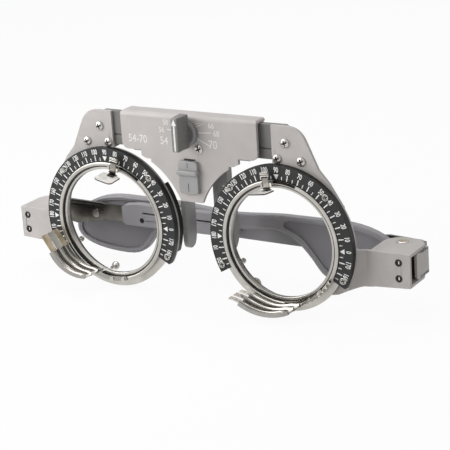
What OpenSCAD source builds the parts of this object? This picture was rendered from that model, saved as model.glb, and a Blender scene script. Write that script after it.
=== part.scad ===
// Adjustable trial lens frame for eye testing, temples folded behind the lens rings.
// Seen from the front: +X to the viewer's right, +Y away from the viewer, +Z up.
// The origin is below the middle of the frame, level with its lowest edge.

/* [Setting of the frame] */
// Distance between the two lens centres, in mm
pd = 62; // [54:1:70]
// Smallest distance between the lens centres
pd_min = 54; // [54:1:56]
// Dial setting that points straight up
pd_mid = 62; // [60:1:62]
// Turn of the left lens cell, anticlockwise from upright
left_axis = -13; // [-40:1:10]
// Turn of the right lens cell, anticlockwise from upright
right_axis = 7; // [-30:1:30]

/* [Lens rings] */
// Radius of the clear aperture
aperture_r = 17.4; // [16:0.1:17.6]
// Radius of the trial lenses
lens_r = 19; // [18.6:0.1:19.1]
// Inner radius of the degree scale
scale_r = 20; // [19.9:0.1:20.4]
// Outer radius of the degree scale and its ring
ring_r = 24.5; // [24:0.1:24.6]
// Thickness of the degree scale
scale_t = 0.9; // [0.6:0.1:1.2]
// Depth of the black bearing ring behind the scale
bearing_t = 1.2; // [1:0.1:1.6]
// Half of the angle that the scale leaves open at the bottom
scale_gap = 61; // [50:1:65]
// Distance of the scale screws from the scale's outer edge
scale_screw_in = 1.6; // [1.5:0.1:1.7]
// Depth of the lens trough in front of the scale
trough_len = 10.2; // [9:0.1:12]
// Number of lens slots in the trough
slots = 3; // [2:1:4]
// Angle along the cell where the trough starts
trough_a0 = 211; // [205:1:220]
// Angle along the cell where the trough ends
trough_a1 = 278; // [270:1:290]
// Turn of the left trough in its cell
left_trough = -4; // [-6:1:0]
// Turn of the right trough in its cell
right_trough = 8; // [0:1:10]

/* [Bridge] */
// Half width of the bridge cover
bridge_half = 24.4; // [23:0.1:24.4]
// Height of the cover's top edge above the lens centres
bridge_top = 37.2; // [37:0.1:39]
// Height of the knob's axis above the lens centres
knob_z = 31.8; // [31.4:0.1:32]
// Lower end of the cover's tongue
tongue_z = 9.6; // [9:0.1:11]
// Wall of the cover
cover_t = 1.2; // [1:0.1:1.3]
// Pitch radius of the pinion
pinion_r = 2; // [1.8:0.1:2.1]
// Teeth of the pinion
pinion_teeth = 10; // [10:4:14]
// Downward travel of the nose rest
nose_travel = 5; // [3:0.5:5]

/* [Frame plates and hinges] */
// Sheet thickness of the frame plates
plate_t = 1; // [0.8:0.1:1.2]
// Distance of the hinge pin from the lens centre
hinge_x = 33.5; // [33:0.1:36]
// Depth of the hinge pin behind the scale's face
hinge_y = 15.2; // [15:0.1:16]
// Radius of the hinge pin
hinge_pin_r = 1.2; // [0.8:0.1:1.4]
// Height of the hinge lug
lug_h = 10.5; // [10:0.05:11]
// Top of the hinge lug relative to the lens centres
lug_top = -0.3; // [-0.6:0.05:0.2]

/* [Temples] */
// Length of a temple from its hinge pin
temple_len = 129.4; // [126:0.1:130]
// Distance of the temple's leaf behind the hinge pin
temple_offset = 9.4; // [9.4:0.1:11]
// How much longer the right hinge lug is than the left one
right_lug_extra = 1.1; // [0:0.1:1.2]
// Upward tilt of the left temple on its pin
left_tilt = 0.5; // [0:0.1:0.5]
// Upward tilt of the right temple on its pin
right_tilt = -0.5; // [-0.5:0.1:0]
// Angle between each folded temple and the frame
fold_skew = 1.6; // [1.6:0.05:2]
// Thickness of the leaf spring
leaf_t = 1; // [0.8:0.1:1.1]
// Height of the leaf inside the sleeve
leaf_h = 5.3; // [4.6:0.1:5.3]
// Thickness of the sleeve
sleeve_t = 3; // [2.8:0.1:3]
// Thickness of the ear paddle
paddle_t = 2.4; // [2:0.1:2.6]
// How far the sleeve can slide up the leaf
temple_travel = 10; // [4:1:10]
// How far the left sleeve has been slid up its leaf
left_slid = 2.4; // [0:0.1:3]

/* [Hidden] */
$fn = 96;
left = -1;
right = 1;

// Running clearance, clearance between flat faces and the gap round a shank
run_gap = 0.05;
side_gap = 0.15;
fit_gap = 0.02;

// Depths behind the scale's face
plate_y = scale_t + bearing_t;
plate_back = plate_y + plate_t;
rear_back = plate_back + 1.9;
rear_web = 0.4;

// Lens cell
cell_r = ring_r - 2.6;
bearing_bore = cell_r + run_gap;
cell_bore = aperture_r;
lip_out = aperture_r + 0.7;
lip_front = 0.5;
collar_in = aperture_r + 1.25;
collar_out = scale_r - 0.1;
collar_front = -0.4;
seat_r = lens_r + 0.1;
rear_r = ring_r - 3.1;
plate_bore = aperture_r + 1.2;
rear_bore = aperture_r + 1.1;
plate_low_r = ring_r - 2.9;
band_r = ring_r - 0.1;
scale_from = scale_gap - 90;
scale_to = 270 - scale_gap;
scale_screw_angles = [45, 135, -24, 204];
scale_screw_r = ring_r - scale_screw_in;
scale_shank_r = 0.7;
post_angles = [90, 210, 330];
post_r = (seat_r + rear_r) / 2 + 0.3;
post_len = 3;

// Lens trough in front of the cell
floor_r = lens_r + 0.4;
floor_t = 0.6;
lip_r = lens_r - 0.8;
lip_t = 0.5;
lip_pitch = (trough_len + collar_front) / slots;
tip_angle = 13;
tab_angle = 24;
tip_t = 1.2;
rivet_angles = [trough_a1 + 7, trough_a1 + tab_angle - 4];
rivet_circle_r = (collar_in + collar_out) / 2;
rivet_r = 0.5;

// Catch above the aperture
catch_z = lens_r + 0.2;
catch_y = -1.6;
catch_pin_r = 0.4;
catch_half = 1.15;
ear_low = aperture_r + 1.1;
ear_t = 0.6;
tab_top = ring_r - 1.5;
tab_half = 1.35;

// Bridge
cover_y = 1;
cover_in = cover_y + cover_t;
cover_round = 1.5;
top_t = 1;
ring_clear_r = ring_r + 0.5;
bar_gap = 0.2;
bar_y = plate_back;
bar_t = 2.4;
bar_top = bridge_top - top_t - bar_gap;
bar_bottom = 25.3;
bar_end = 15;
arm_reach = 6.5;
arm_low = 28;
back_y = bar_y + bar_t + 0.1;
back_t = 1;
shaft_r = 1;
tooth_m = 2 * pinion_r / pinion_teeth;
tooth_pitch = PI * tooth_m;
tooth_half = tooth_pitch * 0.17;
tooth_add = 0.95 * tooth_m;
tooth_ded = 1.25 * tooth_m;
knob_turn = (pd - pd_mid) / 2 / pinion_r * 180 / PI;
bridge_screw_x = 3.9;
bridge_screw_z = 26.9;

// Nose rest
nose_y = rear_back + 0.3;
nose_rise = 1;
link_half = 1.5;
link_top = 22;
link_h = 3.5;
saddle_half = 10.5;
saddle_low = 14.5;
saddle_top = 20.5;
saddle_t = 3.2;
blade_low = -8.5;
blade_depth = 8.3;

// Frame plate, measured from the lens centre
shoulder_x = -2.3;
shoulder_top = 36.3;
shoulder_screws = [[2.4, ring_r + 6.6], [-0.5, ring_r + 1.5], [7.6, ring_r + 1.3]];
shoulder_shank_r = 0.7;
lug_y = plate_y + 2.5;
lug_wall = plate_t;
lug_start = hinge_x - 5.9;
lug_end = hinge_x + 6.1;
function lug_end_at(side) = side == right ? lug_end + right_lug_extra : lug_end;
lug_bottom = lug_top - lug_h;
pin_mid = lug_top - lug_h / 2;
lug_back = hinge_y + 4.2;
lug_corner = 5.6;
flange_t = 1;
stop_x = hinge_x + 3.5;
stop_r = 0.85;
stop_z = [lug_top - 2.75, lug_top - 7.7];

// Temple, measured from its hinge pin
cheek_top = lug_top - flange_t - side_gap;
cheek_bottom = lug_bottom + flange_t + side_gap;
root_t = 0.8;
cheek_half = 3.6;
tail_out = -7.4;
tail_front = -5.7;
tail_back = 2.3;
crank_out = -3.2;
crank_in = -1.3;
leaf_face = temple_offset - leaf_t / 2;
sleeve_start = 24.6;
sleeve_end = 66;
sleeve_top = -1.7;
sleeve_bottom = -9.4;
leaf_bottom = sleeve_bottom + 0.7;
leaf_top = leaf_bottom + leaf_h;
leaf_end = 54;
leaf_full = sleeve_start - temple_travel - 0.2;
leaf_rivet = [10.5, -6.8];
slide_gap = 0.08;
clamp_screw = [32.5, -7.2];
clamp_r = 0.9;
slot_z = -4.6;

// Box of the whole part
back_most = hinge_y + temple_len * sin(fold_skew) + (temple_offset + paddle_t / 2) * cos(fold_skew);
mid_y = (back_most - trough_len) / 2;
lift_z = cell_r;

painted = [0.72, 0.7, 0.69];
dark_grey = [0.36, 0.36, 0.37];
black = [0.08, 0.08, 0.09];
nickel = [0.7, 0.69, 0.66];
steel = [0.82, 0.82, 0.82];
dark_nickel = [0.38, 0.36, 0.34];
plastic = [0.5, 0.5, 0.51];

// Placing

// The whole frame, lifted so that its lowest edge is at height 0
module stand() {
    translate([0, -mid_y, lift_z]) children();
}

// One lens centre
module eye(side) {
    stand() translate([side * pd / 2, 0, 0]) children();
}

// One side of the frame: what is drawn is the right side, and the left is its mirror image
module half_frame(side) {
    eye(side) mirror([side == left ? 1 : 0, 0, 0]) children();
}

// The turning lens cell of one eye, which is the same on both sides
module cell(side) {
    eye(side) rotate([0, side == left ? -left_axis : -right_axis, 0]) children();
}

// The trough's turn within its cell
module in_trough(side) {
    rotate([0, side == left ? -left_trough : -right_trough, 0]) children();
}

// A temple: X runs along it from the hinge pin, Y away from the frame, Z up
module temple(side) {
    half_frame(side)
        translate([hinge_x, hinge_y, 0])
            rotate([0, 0, side == left ? fold_skew : -fold_skew])
                mirror([1, 0, 0])
                    translate([0, 0, pin_mid])
                        rotate([0, side == left ? -left_tilt : -right_tilt, 0])
                            translate([0, 0, -pin_mid])
                                children();
}

// Shapes

// A flat outline in the front view, between two depths
module sheet(y0, y1) {
    translate([0, y1, 0]) rotate([90, 0, 0]) linear_extrude(y1 - y0) children();
}

// Part of a ring in the front view
module arc(r0, r1, y0, y1, a0, a1) {
    translate([0, y1, 0])
        rotate([90, 0, 0])
            rotate([0, 0, a0])
                rotate_extrude(angle = a1 - a0)
                    translate([r0, 0])
                        square([r1 - r0, y1 - y0]);
}

// A round rod along Y
module rod(x, z, r, y0, y1) {
    translate([x, y1, z]) rotate([90, 0, 0]) cylinder(r = r, h = y1 - y0);
}

// A whole ring in the front view
module ring(r0, r1, y0, y1) {
    difference() {
        rod(0, 0, r1, y0, y1);
        rod(0, 0, r0, y0 - 1, y1 + 1);
    }
}

// Rods at a list of angles on a circle
module rods_round(angles, circle_r, r, y0, y1) {
    for (a = angles)
        rod(circle_r * cos(a), circle_r * sin(a), r, y0, y1);
}

// A box between two corners
module box(a, b) {
    translate(a) cube(b - a);
}

// A cross-slotted screw along Y, with its head towards the viewer
module screw(x, z, head_r, head_h, shank_r, y_face, y_end) {
    cross_w = head_r * 0.3;
    cross_l = head_r * 1.2;
    translate([x, y_face, z]) difference() {
        union() {
            rod(0, 0, head_r, -head_h, 0);
            rod(0, 0, shank_r, -head_h / 2, y_end - y_face);
        }
        for (turn = [20, 110])
            rotate([0, turn, 0])
                box([-cross_l / 2, -head_h - 1, -cross_w / 2], [cross_l / 2, -head_h * 0.4, cross_w / 2]);
    }
}

// A smooth curve from a to d, pulled towards b and c; d itself is left to the next curve
function bend(a, b, c, d, n) = [
    for (i = [0 : n - 1])
        let (t = i / n, s = 1 - t)
            s * s * s * a + 3 * s * s * t * b + 3 * s * t * t * c + t * t * t * d
];

// A rounded corner at p, entered from the offset a and left by the offset b
function corner(p, a, b) = [
    for (i = [0 : 6])
        let (t = 15 * i)
            p + (1 - sin(t)) * a + (1 - cos(t)) * b
];

// Bridge

// Front outline: two wings and the tongue, cut clear of the rings at the smallest setting
module cover_outline() {
    wing_z = 24.9;
    step_x = 17.5;
    step_z = 22.3;
    tongue_half = 14;
    low_r = 2.2;
    top_r = 0.9;
    difference() {
        polygon(concat(
            [[-step_x, wing_z], [-step_x, step_z], [-tongue_half, step_z], [-tongue_half, tongue_z],
                [tongue_half, tongue_z], [tongue_half, step_z], [step_x, step_z], [step_x, wing_z]],
            corner([bridge_half, wing_z], [-low_r, 0], [0, low_r]),
            corner([bridge_half, bridge_top], [0, -top_r], [-top_r, 0]),
            corner([-bridge_half, bridge_top], [top_r, 0], [0, -top_r]),
            corner([-bridge_half, wing_z], [0, low_r], [low_r, 0])));
        for (side = [left, right])
            translate([side * pd_min / 2, 0])
                circle(r = ring_clear_r);
    }
}

module bridge_cover() {
    wide = bridge_half + 1;
    cover_back = back_y + back_t;
    color(painted) stand() difference() {
        sheet(cover_y, cover_back) cover_outline();
        box([-wide, cover_in, tongue_z - 1], [wide, cover_back + 1, bridge_top - top_t]);
        difference() {
            box([-wide, cover_y - 1, bridge_top - cover_round],
                [wide, cover_y + cover_round, bridge_top + 1]);
            translate([-wide - 1, cover_y + cover_round, bridge_top - cover_round])
                rotate([0, 90, 0])
                    cylinder(r = cover_round, h = 2 * wide + 2);
        }
        rod(0, knob_z, shaft_r + run_gap, cover_y - 1, cover_in + 1);
        box([-link_half - side_gap, cover_y - 1, link_top - link_h - nose_travel - bar_gap],
            [link_half + side_gap, cover_in + 1, link_top + nose_rise + bar_gap]);
        for (side = [left, right])
            rod(side * bridge_screw_x, bridge_screw_z, scale_shank_r + fit_gap, 0, cover_in + 1);
    }
}

// Back plate with the ledges that carry the slide bars and the bosses for the screws
module bridge_back_plate() {
    plate_half = bridge_half - 0.4;
    ledge_from = 8;
    ledge_to = 21;
    ledge_h = 0.8;
    ledge_z = bar_bottom - bar_gap;
    boss_r = 1;
    color(dark_grey) stand() difference() {
        union() {
            box([-plate_half, back_y, ledge_z - bar_gap], [plate_half, back_y + back_t, bridge_top - top_t]);
            for (side = [left, right]) {
                mirror([side == left ? 1 : 0, 0, 0])
                    box([ledge_from, cover_in, ledge_z - ledge_h], [ledge_to, back_y + 0.1, ledge_z]);
                rod(side * bridge_screw_x, bridge_screw_z, boss_r, cover_in, back_y + 0.1);
            }
        }
        rod(0, knob_z, shaft_r + run_gap, back_y - 1, back_y + back_t + 1);
        for (side = [left, right])
            rod(side * bridge_screw_x, bridge_screw_z, scale_shank_r + fit_gap, cover_in - 1, back_y + 2);
    }
}

module bridge_screws() {
    color(steel) stand()
        for (side = [left, right])
            screw(side * bridge_screw_x, bridge_screw_z, 1.4, 0.6, scale_shank_r, cover_y, back_y + 0.9);
}

// Knob, pinion and the clip that keeps them in the bridge

module knob_axis() {
    stand() translate([0, 0, knob_z]) rotate([0, knob_turn, 0]) children();
}

module pd_knob() {
    dial_r = 3.9;
    dial_front = -0.3;
    dial_back = cover_y - 0.05;
    grip_front = -6.2;
    grip_top = 6.4;
    grip_bottom = -4.4;
    grip_half = 1.6;
    grip_edge = 1.1;
    color(dark_grey) knob_axis() difference() {
        union() {
            rod(0, 0, dial_r, dial_front, dial_back);
            translate([0, 0, grip_bottom])
                linear_extrude(grip_top - grip_bottom)
                    polygon([[-grip_half, dial_front + 0.1], [-grip_edge, grip_front], [grip_edge, grip_front],
                        [grip_half, dial_front + 0.1]]);
        }
        rod(0, 0, shaft_r + fit_gap, -3, dial_back + 1);
    }
}

// One straight-flanked tooth pointing up from its pitch line
module tooth_outline(tip, root) {
    polygon([[-tooth_half - 0.35 * root, -root], [tooth_half + 0.35 * root, -root],
        [tooth_half - 0.3 * tip, tip], [-tooth_half + 0.3 * tip, tip]]);
}

// Outline of the pinion: four corners for each tooth
function pinion_points() = [
    for (i = [0 : pinion_teeth - 1])
        let (turn = 360 / pinion_teeth * i)
            for (c = [[tooth_half + 0.35 * tooth_ded, -tooth_ded], [tooth_half - 0.3 * tooth_add, tooth_add],
                    [0.3 * tooth_add - tooth_half, tooth_add], [-tooth_half - 0.35 * tooth_ded, -tooth_ded]])
                let (r = pinion_r + c[1])
                    [c[0] * cos(turn) - r * sin(turn), c[0] * sin(turn) + r * cos(turn)]
];

module pd_pinion() {
    gear_y0 = bar_y + 0.1;
    gear_y1 = bar_y + bar_t - 0.1;
    color(nickel) knob_axis() union() {
        rod(0, 0, shaft_r, -2.9, back_y + back_t + 0.8);
        sheet(gear_y0, gear_y1) polygon(pinion_points());
    }
}

module knob_clip() {
    clip_r = 2.2;
    clip_y = back_y + back_t + side_gap;
    color(steel) knob_axis() difference() {
        rod(0, 0, clip_r, clip_y, clip_y + 0.5);
        rod(0, 0, shaft_r + fit_gap, clip_y - 1, clip_y + 1);
        box([-0.6, clip_y - 1, -clip_r - 1], [0.6, clip_y + 1, -shaft_r * 0.9]);
    }
}

// Nose rest

module nose_button() {
    half = 3.4;
    top = 23;
    bottom = 12.5;
    front = -0.3;
    back = cover_y - 0.05;
    ledge_half = 3.9;
    ledge_z = 18.2;
    ledge_h = 1;
    ledge_front = -1.4;
    line_half = 0.15;
    color(dark_grey) stand() difference() {
        union() {
            box([-half, front, bottom], [half, back, top]);
            box([-ledge_half, ledge_front, ledge_z], [ledge_half, back, ledge_z + ledge_h]);
        }
        for (z = [13.4, 20])
            box([-line_half, front - 1, z], [line_half, front + 0.25, z + 2.4]);
    }
}

// Slide behind the cover, with the link that reaches through the cover's slot to the button
module nose_carrier() {
    half = 3.3;
    color(dark_grey) stand() difference() {
        union() {
            box([-link_half, cover_y - 0.05, link_top - link_h], [link_half, cover_in + 0.5, link_top]);
            box([-half, cover_in + 0.1, 13], [half, nose_y, 24]);
        }
        rod(0, (saddle_low + saddle_top) / 2, 0.8 + fit_gap, cover_in + 0.4, nose_y + 1);
    }
}

// Saddle behind the bridge with the two blades that rest on the nose
module nose_pads() {
    front_in = 5.2;
    front_out = 7;
    back_in = 7;
    back_out = 8.8;
    back = nose_y + blade_depth;
    color(dark_grey) stand() difference() {
        union() {
            box([-saddle_half, nose_y, saddle_low], [saddle_half, nose_y + saddle_t, saddle_top]);
            for (side = [left, right])
                mirror([side == left ? 1 : 0, 0, 0]) intersection() {
                    translate([0, 0, blade_low])
                        linear_extrude(saddle_top - blade_low)
                            polygon([[front_in, nose_y], [front_out, nose_y], [back_out, back],
                                [back_in, back]]);
                    rotate([90, 0, 90])
                        linear_extrude(20)
                            polygon(concat(
                                [[nose_y, saddle_top - 1], [nose_y + saddle_t - 1, saddle_top - 1]],
                                bend([nose_y + saddle_t - 1, saddle_low - 1], [back - 1, saddle_low - 2],
                                    [back, saddle_low - 5], [back, saddle_low - 9], 8),
                                bend([back, blade_low + 6], [back, blade_low + 1], [back - 2, blade_low],
                                    [nose_y + 5, blade_low], 8),
                                bend([nose_y + 4, blade_low], [nose_y + 1.5, blade_low],
                                    [nose_y, blade_low + 1.5], [nose_y, blade_low + 4], 6),
                                [[nose_y, blade_low + 4]]));
                }
        }
        rod(0, (saddle_low + saddle_top) / 2, 0.8 + fit_gap, nose_y - 1, nose_y + saddle_t + 1);
    }
}

module nose_screw() {
    z = (saddle_low + saddle_top) / 2;
    color(steel) stand() union() {
        rod(0, z, 0.8, cover_in + 0.6, nose_y + saddle_t + 0.1);
        rod(0, z, 1.7, nose_y + saddle_t, nose_y + saddle_t + 0.7);
    }
}

// Carriages that slide in the bridge

// Slide bar with its rack: the left one passes below the pinion, the right one above
module slide_bar(side) {
    under = side == left;
    pitch_z = under ? knob_z - pinion_r : knob_z + pinion_r;
    root_z = under ? pitch_z - tooth_ded : pitch_z + tooth_ded;
    arm_z0 = under ? arm_low : root_z;
    arm_z1 = under ? root_z : bar_top;
    mid_x = -pd_mid / 2;
    rack_n = floor(arm_reach / tooth_pitch);
    outer_x = 9.4;
    groove_z = 28.6;
    color(dark_grey) half_frame(side) difference() {
        union() {
            sheet(bar_y, bar_y + bar_t)
                polygon([[mid_x + bar_end, bar_bottom], [shoulder_x + 0.1, bar_bottom],
                    [shoulder_x + 0.1, bar_bottom - 1], [outer_x, bar_bottom - 1], [outer_x, 28.5], [6, 32.8],
                    [2.6, 35.4], [1.6, bar_top], [mid_x + bar_end, bar_top]]);
            box([mid_x - arm_reach, bar_y, arm_z0], [mid_x + bar_end + 1, bar_y + bar_t, arm_z1]);
            for (i = [-rack_n : rack_n - 1])
                translate([mid_x + (i + 0.5) * tooth_pitch, 0, pitch_z])
                    mirror([0, 0, under ? 0 : 1])
                        sheet(bar_y, bar_y + bar_t)
                            tooth_outline(tooth_add, tooth_ded + 0.05);
        }
        box([mid_x + bar_end + 2, bar_y - 1, groove_z - 0.2], [shoulder_x + 1, bar_y + 0.4, groove_z + 0.2]);
        for (p = shoulder_screws)
            rod(p[0], p[1], shoulder_shank_r + fit_gap, 0, bar_y + bar_t + 1);
    }
}

// Front outline of the frame plate round the ring and up to the bridge
module plate_outline() {
    difference() {
        union() {
            circle(r = plate_low_r);
            intersection() {
                circle(r = band_r);
                polygon([[0, 0], [60 * cos(scale_from), 60 * sin(scale_from)], [60, 60], [-60, 60],
                    [60 * cos(scale_to), 60 * sin(scale_to)]]);
            }
            polygon(concat(
                [[shoulder_x, 18], [shoulder_x, shoulder_top]],
                bend([3, shoulder_top], [6.2, shoulder_top], [8.3, 34.8], [9.6, 31.6], 8),
                [[13.2, 23.7], [16.4, 20], [21, 12.8], [18, 8]]));
        }
        circle(r = plate_bore);
    }
}

// Front outline of the arm from the ring to the hinge lug
module lug_outline(end) {
    difference() {
        polygon(concat(
            [[18, 2.5], [ring_r + 0.2, lug_top], [end, lug_top], [end, lug_bottom]],
            bend([lug_start - 1.1, lug_bottom - 0.8], [23, lug_bottom - 1.2], [20, lug_bottom - 3],
                [16.5, lug_bottom - 4.8], 6),
            [[13.5, -15.6]]));
        circle(r = plate_bore);
    }
}

// Plan of the lug's flanges, rounded at the back
module flange_outline(end) {
    flange_from = lug_start;
    translate([flange_from, lug_y])
        square([end - flange_from, lug_back - lug_corner - lug_y]);
    translate([flange_from + lug_corner, lug_y])
        square([end - flange_from - 2 * lug_corner, lug_back - lug_y]);
    for (x = [flange_from + lug_corner, end - lug_corner])
        translate([x, lug_back - lug_corner])
            circle(r = lug_corner);
}

module frame_plate(side) {
    joggle_from = rear_r + 0.4;
    joggle_to = lug_start - 0.8;
    end = lug_end_at(side);
    color(painted) half_frame(side) difference() {
        union() {
            sheet(plate_y, plate_back) plate_outline();
            intersection() {
                sheet(plate_y - 1, lug_y + lug_wall + 1) lug_outline(end);
                translate([0, 0, -30])
                    linear_extrude(40)
                        polygon([[10, plate_y], [joggle_from, plate_y], [joggle_to, lug_y],
                            [end + 1, lug_y], [end + 1, lug_y + lug_wall],
                            [joggle_to, lug_y + lug_wall], [joggle_from, plate_back], [10, plate_back]]);
            }
            for (z = [lug_top - flange_t, lug_bottom])
                translate([0, 0, z])
                    linear_extrude(flange_t)
                        flange_outline(end);
        }
        translate([hinge_x, hinge_y, lug_bottom - 1])
            cylinder(r = hinge_pin_r + fit_gap, h = lug_h + 2);
        for (z = stop_z)
            rod(stop_x, z, stop_r + fit_gap, 0, lug_y + lug_wall + 1);
        for (p = shoulder_screws)
            rod(p[0], p[1], shoulder_shank_r + fit_gap, 0, plate_back + 1);
        rods_round(scale_screw_angles, scale_screw_r, scale_shank_r + fit_gap, 0, plate_back + 1);
    }
}

module shoulder_screw_set(side) {
    color(steel) half_frame(side)
        for (p = shoulder_screws)
            screw(p[0], p[1], 1.4, 0.7, shoulder_shank_r, plate_y, bar_y + bar_t - 0.1);
}

module bearing_ring(side) {
    color(black) half_frame(side) difference() {
        arc(bearing_bore, ring_r, scale_t, plate_y, scale_from, scale_to);
        rods_round(scale_screw_angles, scale_screw_r, scale_shank_r + fit_gap, 0, plate_y + 1);
    }
}

module scale_ring(side) {
    color(black) half_frame(side) difference() {
        arc(scale_r, ring_r, 0, scale_t, scale_from, scale_to);
        rods_round(scale_screw_angles, scale_screw_r, scale_shank_r + fit_gap, -1, scale_t + 1);
    }
}

module scale_screw_set(side) {
    color(steel) half_frame(side)
        for (a = scale_screw_angles)
            screw(scale_screw_r * cos(a), scale_screw_r * sin(a), 1.1, 0.2, scale_shank_r, 0,
                plate_back - 0.05);
}

// Dark block behind the plate on the nose side
module nasal_block(side) {
    color(black) half_frame(side) arc(plate_low_r, band_r, plate_back, rear_back, 145, 200);
}

// Fixed rear cell with the seat for a lens behind the frame
module rear_cell(side) {
    color(nickel) half_frame(side) difference() {
        rod(0, 0, rear_r, plate_back, rear_back);
        rod(0, 0, rear_bore, plate_back - 1, rear_back + 1);
        rod(0, 0, seat_r, plate_back + rear_web, rear_back + 1);
        rods_round(post_angles, post_r, 0.4 + fit_gap, plate_back + rear_web, rear_back + 1);
    }
}

module rear_posts(side) {
    stem_r = 0.6;
    head_r = 0.9;
    head_t = 0.6;
    color(steel) half_frame(side) union()
        for (a = post_angles)
            translate([post_r * cos(a), 0, post_r * sin(a)]) {
                rod(0, 0, 0.4, plate_back + rear_web, rear_back + 0.1);
                rod(0, 0, stem_r, rear_back, rear_back + post_len);
                rod(0, 0, head_r, rear_back + post_len - head_t, rear_back + post_len);
            }
}

module hinge_pin(side) {
    head_r = 1.9;
    head_t = 0.4;
    color(steel) half_frame(side) translate([hinge_x, hinge_y, 0]) union() {
        translate([0, 0, lug_bottom - head_t]) cylinder(r = hinge_pin_r, h = lug_h + 2 * head_t);
        translate([0, 0, lug_top]) cylinder(r = head_r, h = head_t);
        translate([0, 0, lug_bottom - head_t]) cylinder(r = head_r, h = head_t);
    }
}

// Set screws in the lug's front wall
module stop_screw_set(side) {
    color(black) half_frame(side)
        for (z = stop_z)
            difference() {
                rod(stop_x, z, stop_r, lug_y + 0.25, lug_y + lug_wall + 0.3);
                rod(stop_x, z, stop_r * 0.5, lug_y, lug_y + 0.8);
            }
}

// Turning lens cell

module cell_ring(side) {
    flange_front = scale_t + 0.1;
    flange_back = plate_y - 0.1;
    notch_w = 2.4;
    color(nickel) cell(side) difference() {
        union() {
            ring(cell_bore, cell_r, flange_front, flange_back);
            ring(collar_in, collar_out, collar_front, flange_front + 0.2);
            ring(cell_bore, lip_out, lip_front, flange_front + 0.2);
        }
        rotate([0, 20, 0])
            box([-notch_w / 2, collar_front - 1, collar_in - 1], [notch_w / 2, 0.4, collar_out + 1]);
        in_trough(side)
            rods_round(rivet_angles, rivet_circle_r, rivet_r + fit_gap, collar_front - 1, 0.6);
    }
}

// Section of the trough, as radius and depth in front of the scale: a band with lips between the slots
function lip_points(i) = let (front = i * lip_pitch - collar_front) concat(
    [[floor_r, front - lip_t], [lip_r, front - lip_t], [lip_r, front]],
    i < slots ? [[floor_r, front]] : []
);

function trough_points() = concat(
    [[floor_r, 0.3 - collar_front]],
    [for (i = [1 : slots]) each lip_points(i)],
    [[floor_r + floor_t, trough_len], [floor_r + floor_t, 0.3 - collar_front]]
);

// Springy trough under the lenses, with bent tips at one end and a riveted tab at the other
module lens_trough(side) {
    tab_from = trough_a1 - 20;
    tab_to = trough_a1 + tab_angle;
    color(steel) cell(side) in_trough(side) difference() {
        union() {
            rotate([90, 0, 0])
                rotate([0, 0, trough_a0])
                    rotate_extrude(angle = trough_a1 - trough_a0)
                        polygon(trough_points());
            for (i = [0 : slots - 1])
                arc(floor_r + 0.3, floor_r + floor_t + tip_t - 0.2 * i,
                    collar_front - (i + 1) * lip_pitch + 0.1,
                    collar_front - i * lip_pitch - lip_t, trough_a0 + 0.4, trough_a0 + tip_angle);
            arc(collar_in + 0.1, floor_r + 0.3, collar_front - 0.4, collar_front, tab_from, tab_to);
        }
        rods_round(rivet_angles, rivet_circle_r, rivet_r + fit_gap, collar_front - 0.5, 1);
    }
}

module trough_rivets(side) {
    color(steel) cell(side) in_trough(side) union()
        for (a = rivet_angles)
            translate([rivet_circle_r * cos(a), 0, rivet_circle_r * sin(a)]) {
                rod(0, 0, rivet_r, collar_front - 0.6, 0.5);
                rod(0, 0, rivet_r + 0.2, collar_front - 0.7, collar_front - 0.4);
            }
}

module catch_bracket(side) {
    ear_in = catch_half + side_gap;
    ear_out = ear_in + ear_t;
    color(steel) cell(side) difference() {
        union() {
            box([-ear_out, collar_front - 0.4, ear_low], [ear_out, collar_front, collar_out - 0.1]);
            for (x = [-ear_out, ear_in])
                box([x, catch_y - 0.8, ear_low], [x + ear_t, collar_front, collar_out - 0.1]);
        }
        translate([-5, catch_y, catch_z])
            rotate([0, 90, 0])
                cylinder(r = catch_pin_r + fit_gap, h = 10);
    }
}

module catch_pin(side) {
    half = catch_half + side_gap + ear_t + 0.2;
    color(nickel) cell(side)
        translate([-half, catch_y, catch_z])
            rotate([0, 90, 0])
                cylinder(r = catch_pin_r, h = 2 * half);
}

// Lever: thumb tab in front of the scale, barrel on the pin and a tongue over the lens slots
module catch_lever(side) {
    barrel_r = 0.75;
    tab_t = 0.5;
    tab_y = catch_y - barrel_r;
    neck = 0.75;
    tongue_half = 3.1;
    tongue_low = aperture_r - 0.2;
    tongue_t = 0.6;
    tongue_front = 1.3 - trough_len;
    color(steel) cell(side) difference() {
        union() {
            translate([-catch_half, catch_y, catch_z])
                rotate([0, 90, 0])
                    cylinder(r = barrel_r, h = 2 * catch_half);
            sheet(tab_y, tab_y + tab_t)
                polygon([[-catch_half, tongue_low], [catch_half, tongue_low], [catch_half, catch_z + 0.8],
                    [neck, catch_z + 1.4], [neck, catch_z + 1.9], [tab_half, catch_z + 2.4],
                    [tab_half, tab_top], [-tab_half, tab_top], [-tab_half, catch_z + 2.4],
                    [-neck, catch_z + 1.9], [-neck, catch_z + 1.4], [-catch_half, catch_z + 0.8]]);
            box([-catch_half, tab_y - 1, tongue_low], [catch_half, tab_y + tab_t, tongue_low + tongue_t]);
            box([-tongue_half, tongue_front, tongue_low], [tongue_half, tab_y - 0.8, tongue_low + tongue_t]);
            for (i = [1 : slots])
                box([-tongue_half, collar_front - i * lip_pitch + 0.4, tongue_low + 0.1],
                    [tongue_half, collar_front - i * lip_pitch + 0.8, tongue_low + tongue_t + 0.5]);
        }
        translate([-5, catch_y, catch_z])
            rotate([0, 90, 0])
                cylinder(r = catch_pin_r + run_gap, h = 10);
    }
}

// Temples

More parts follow.
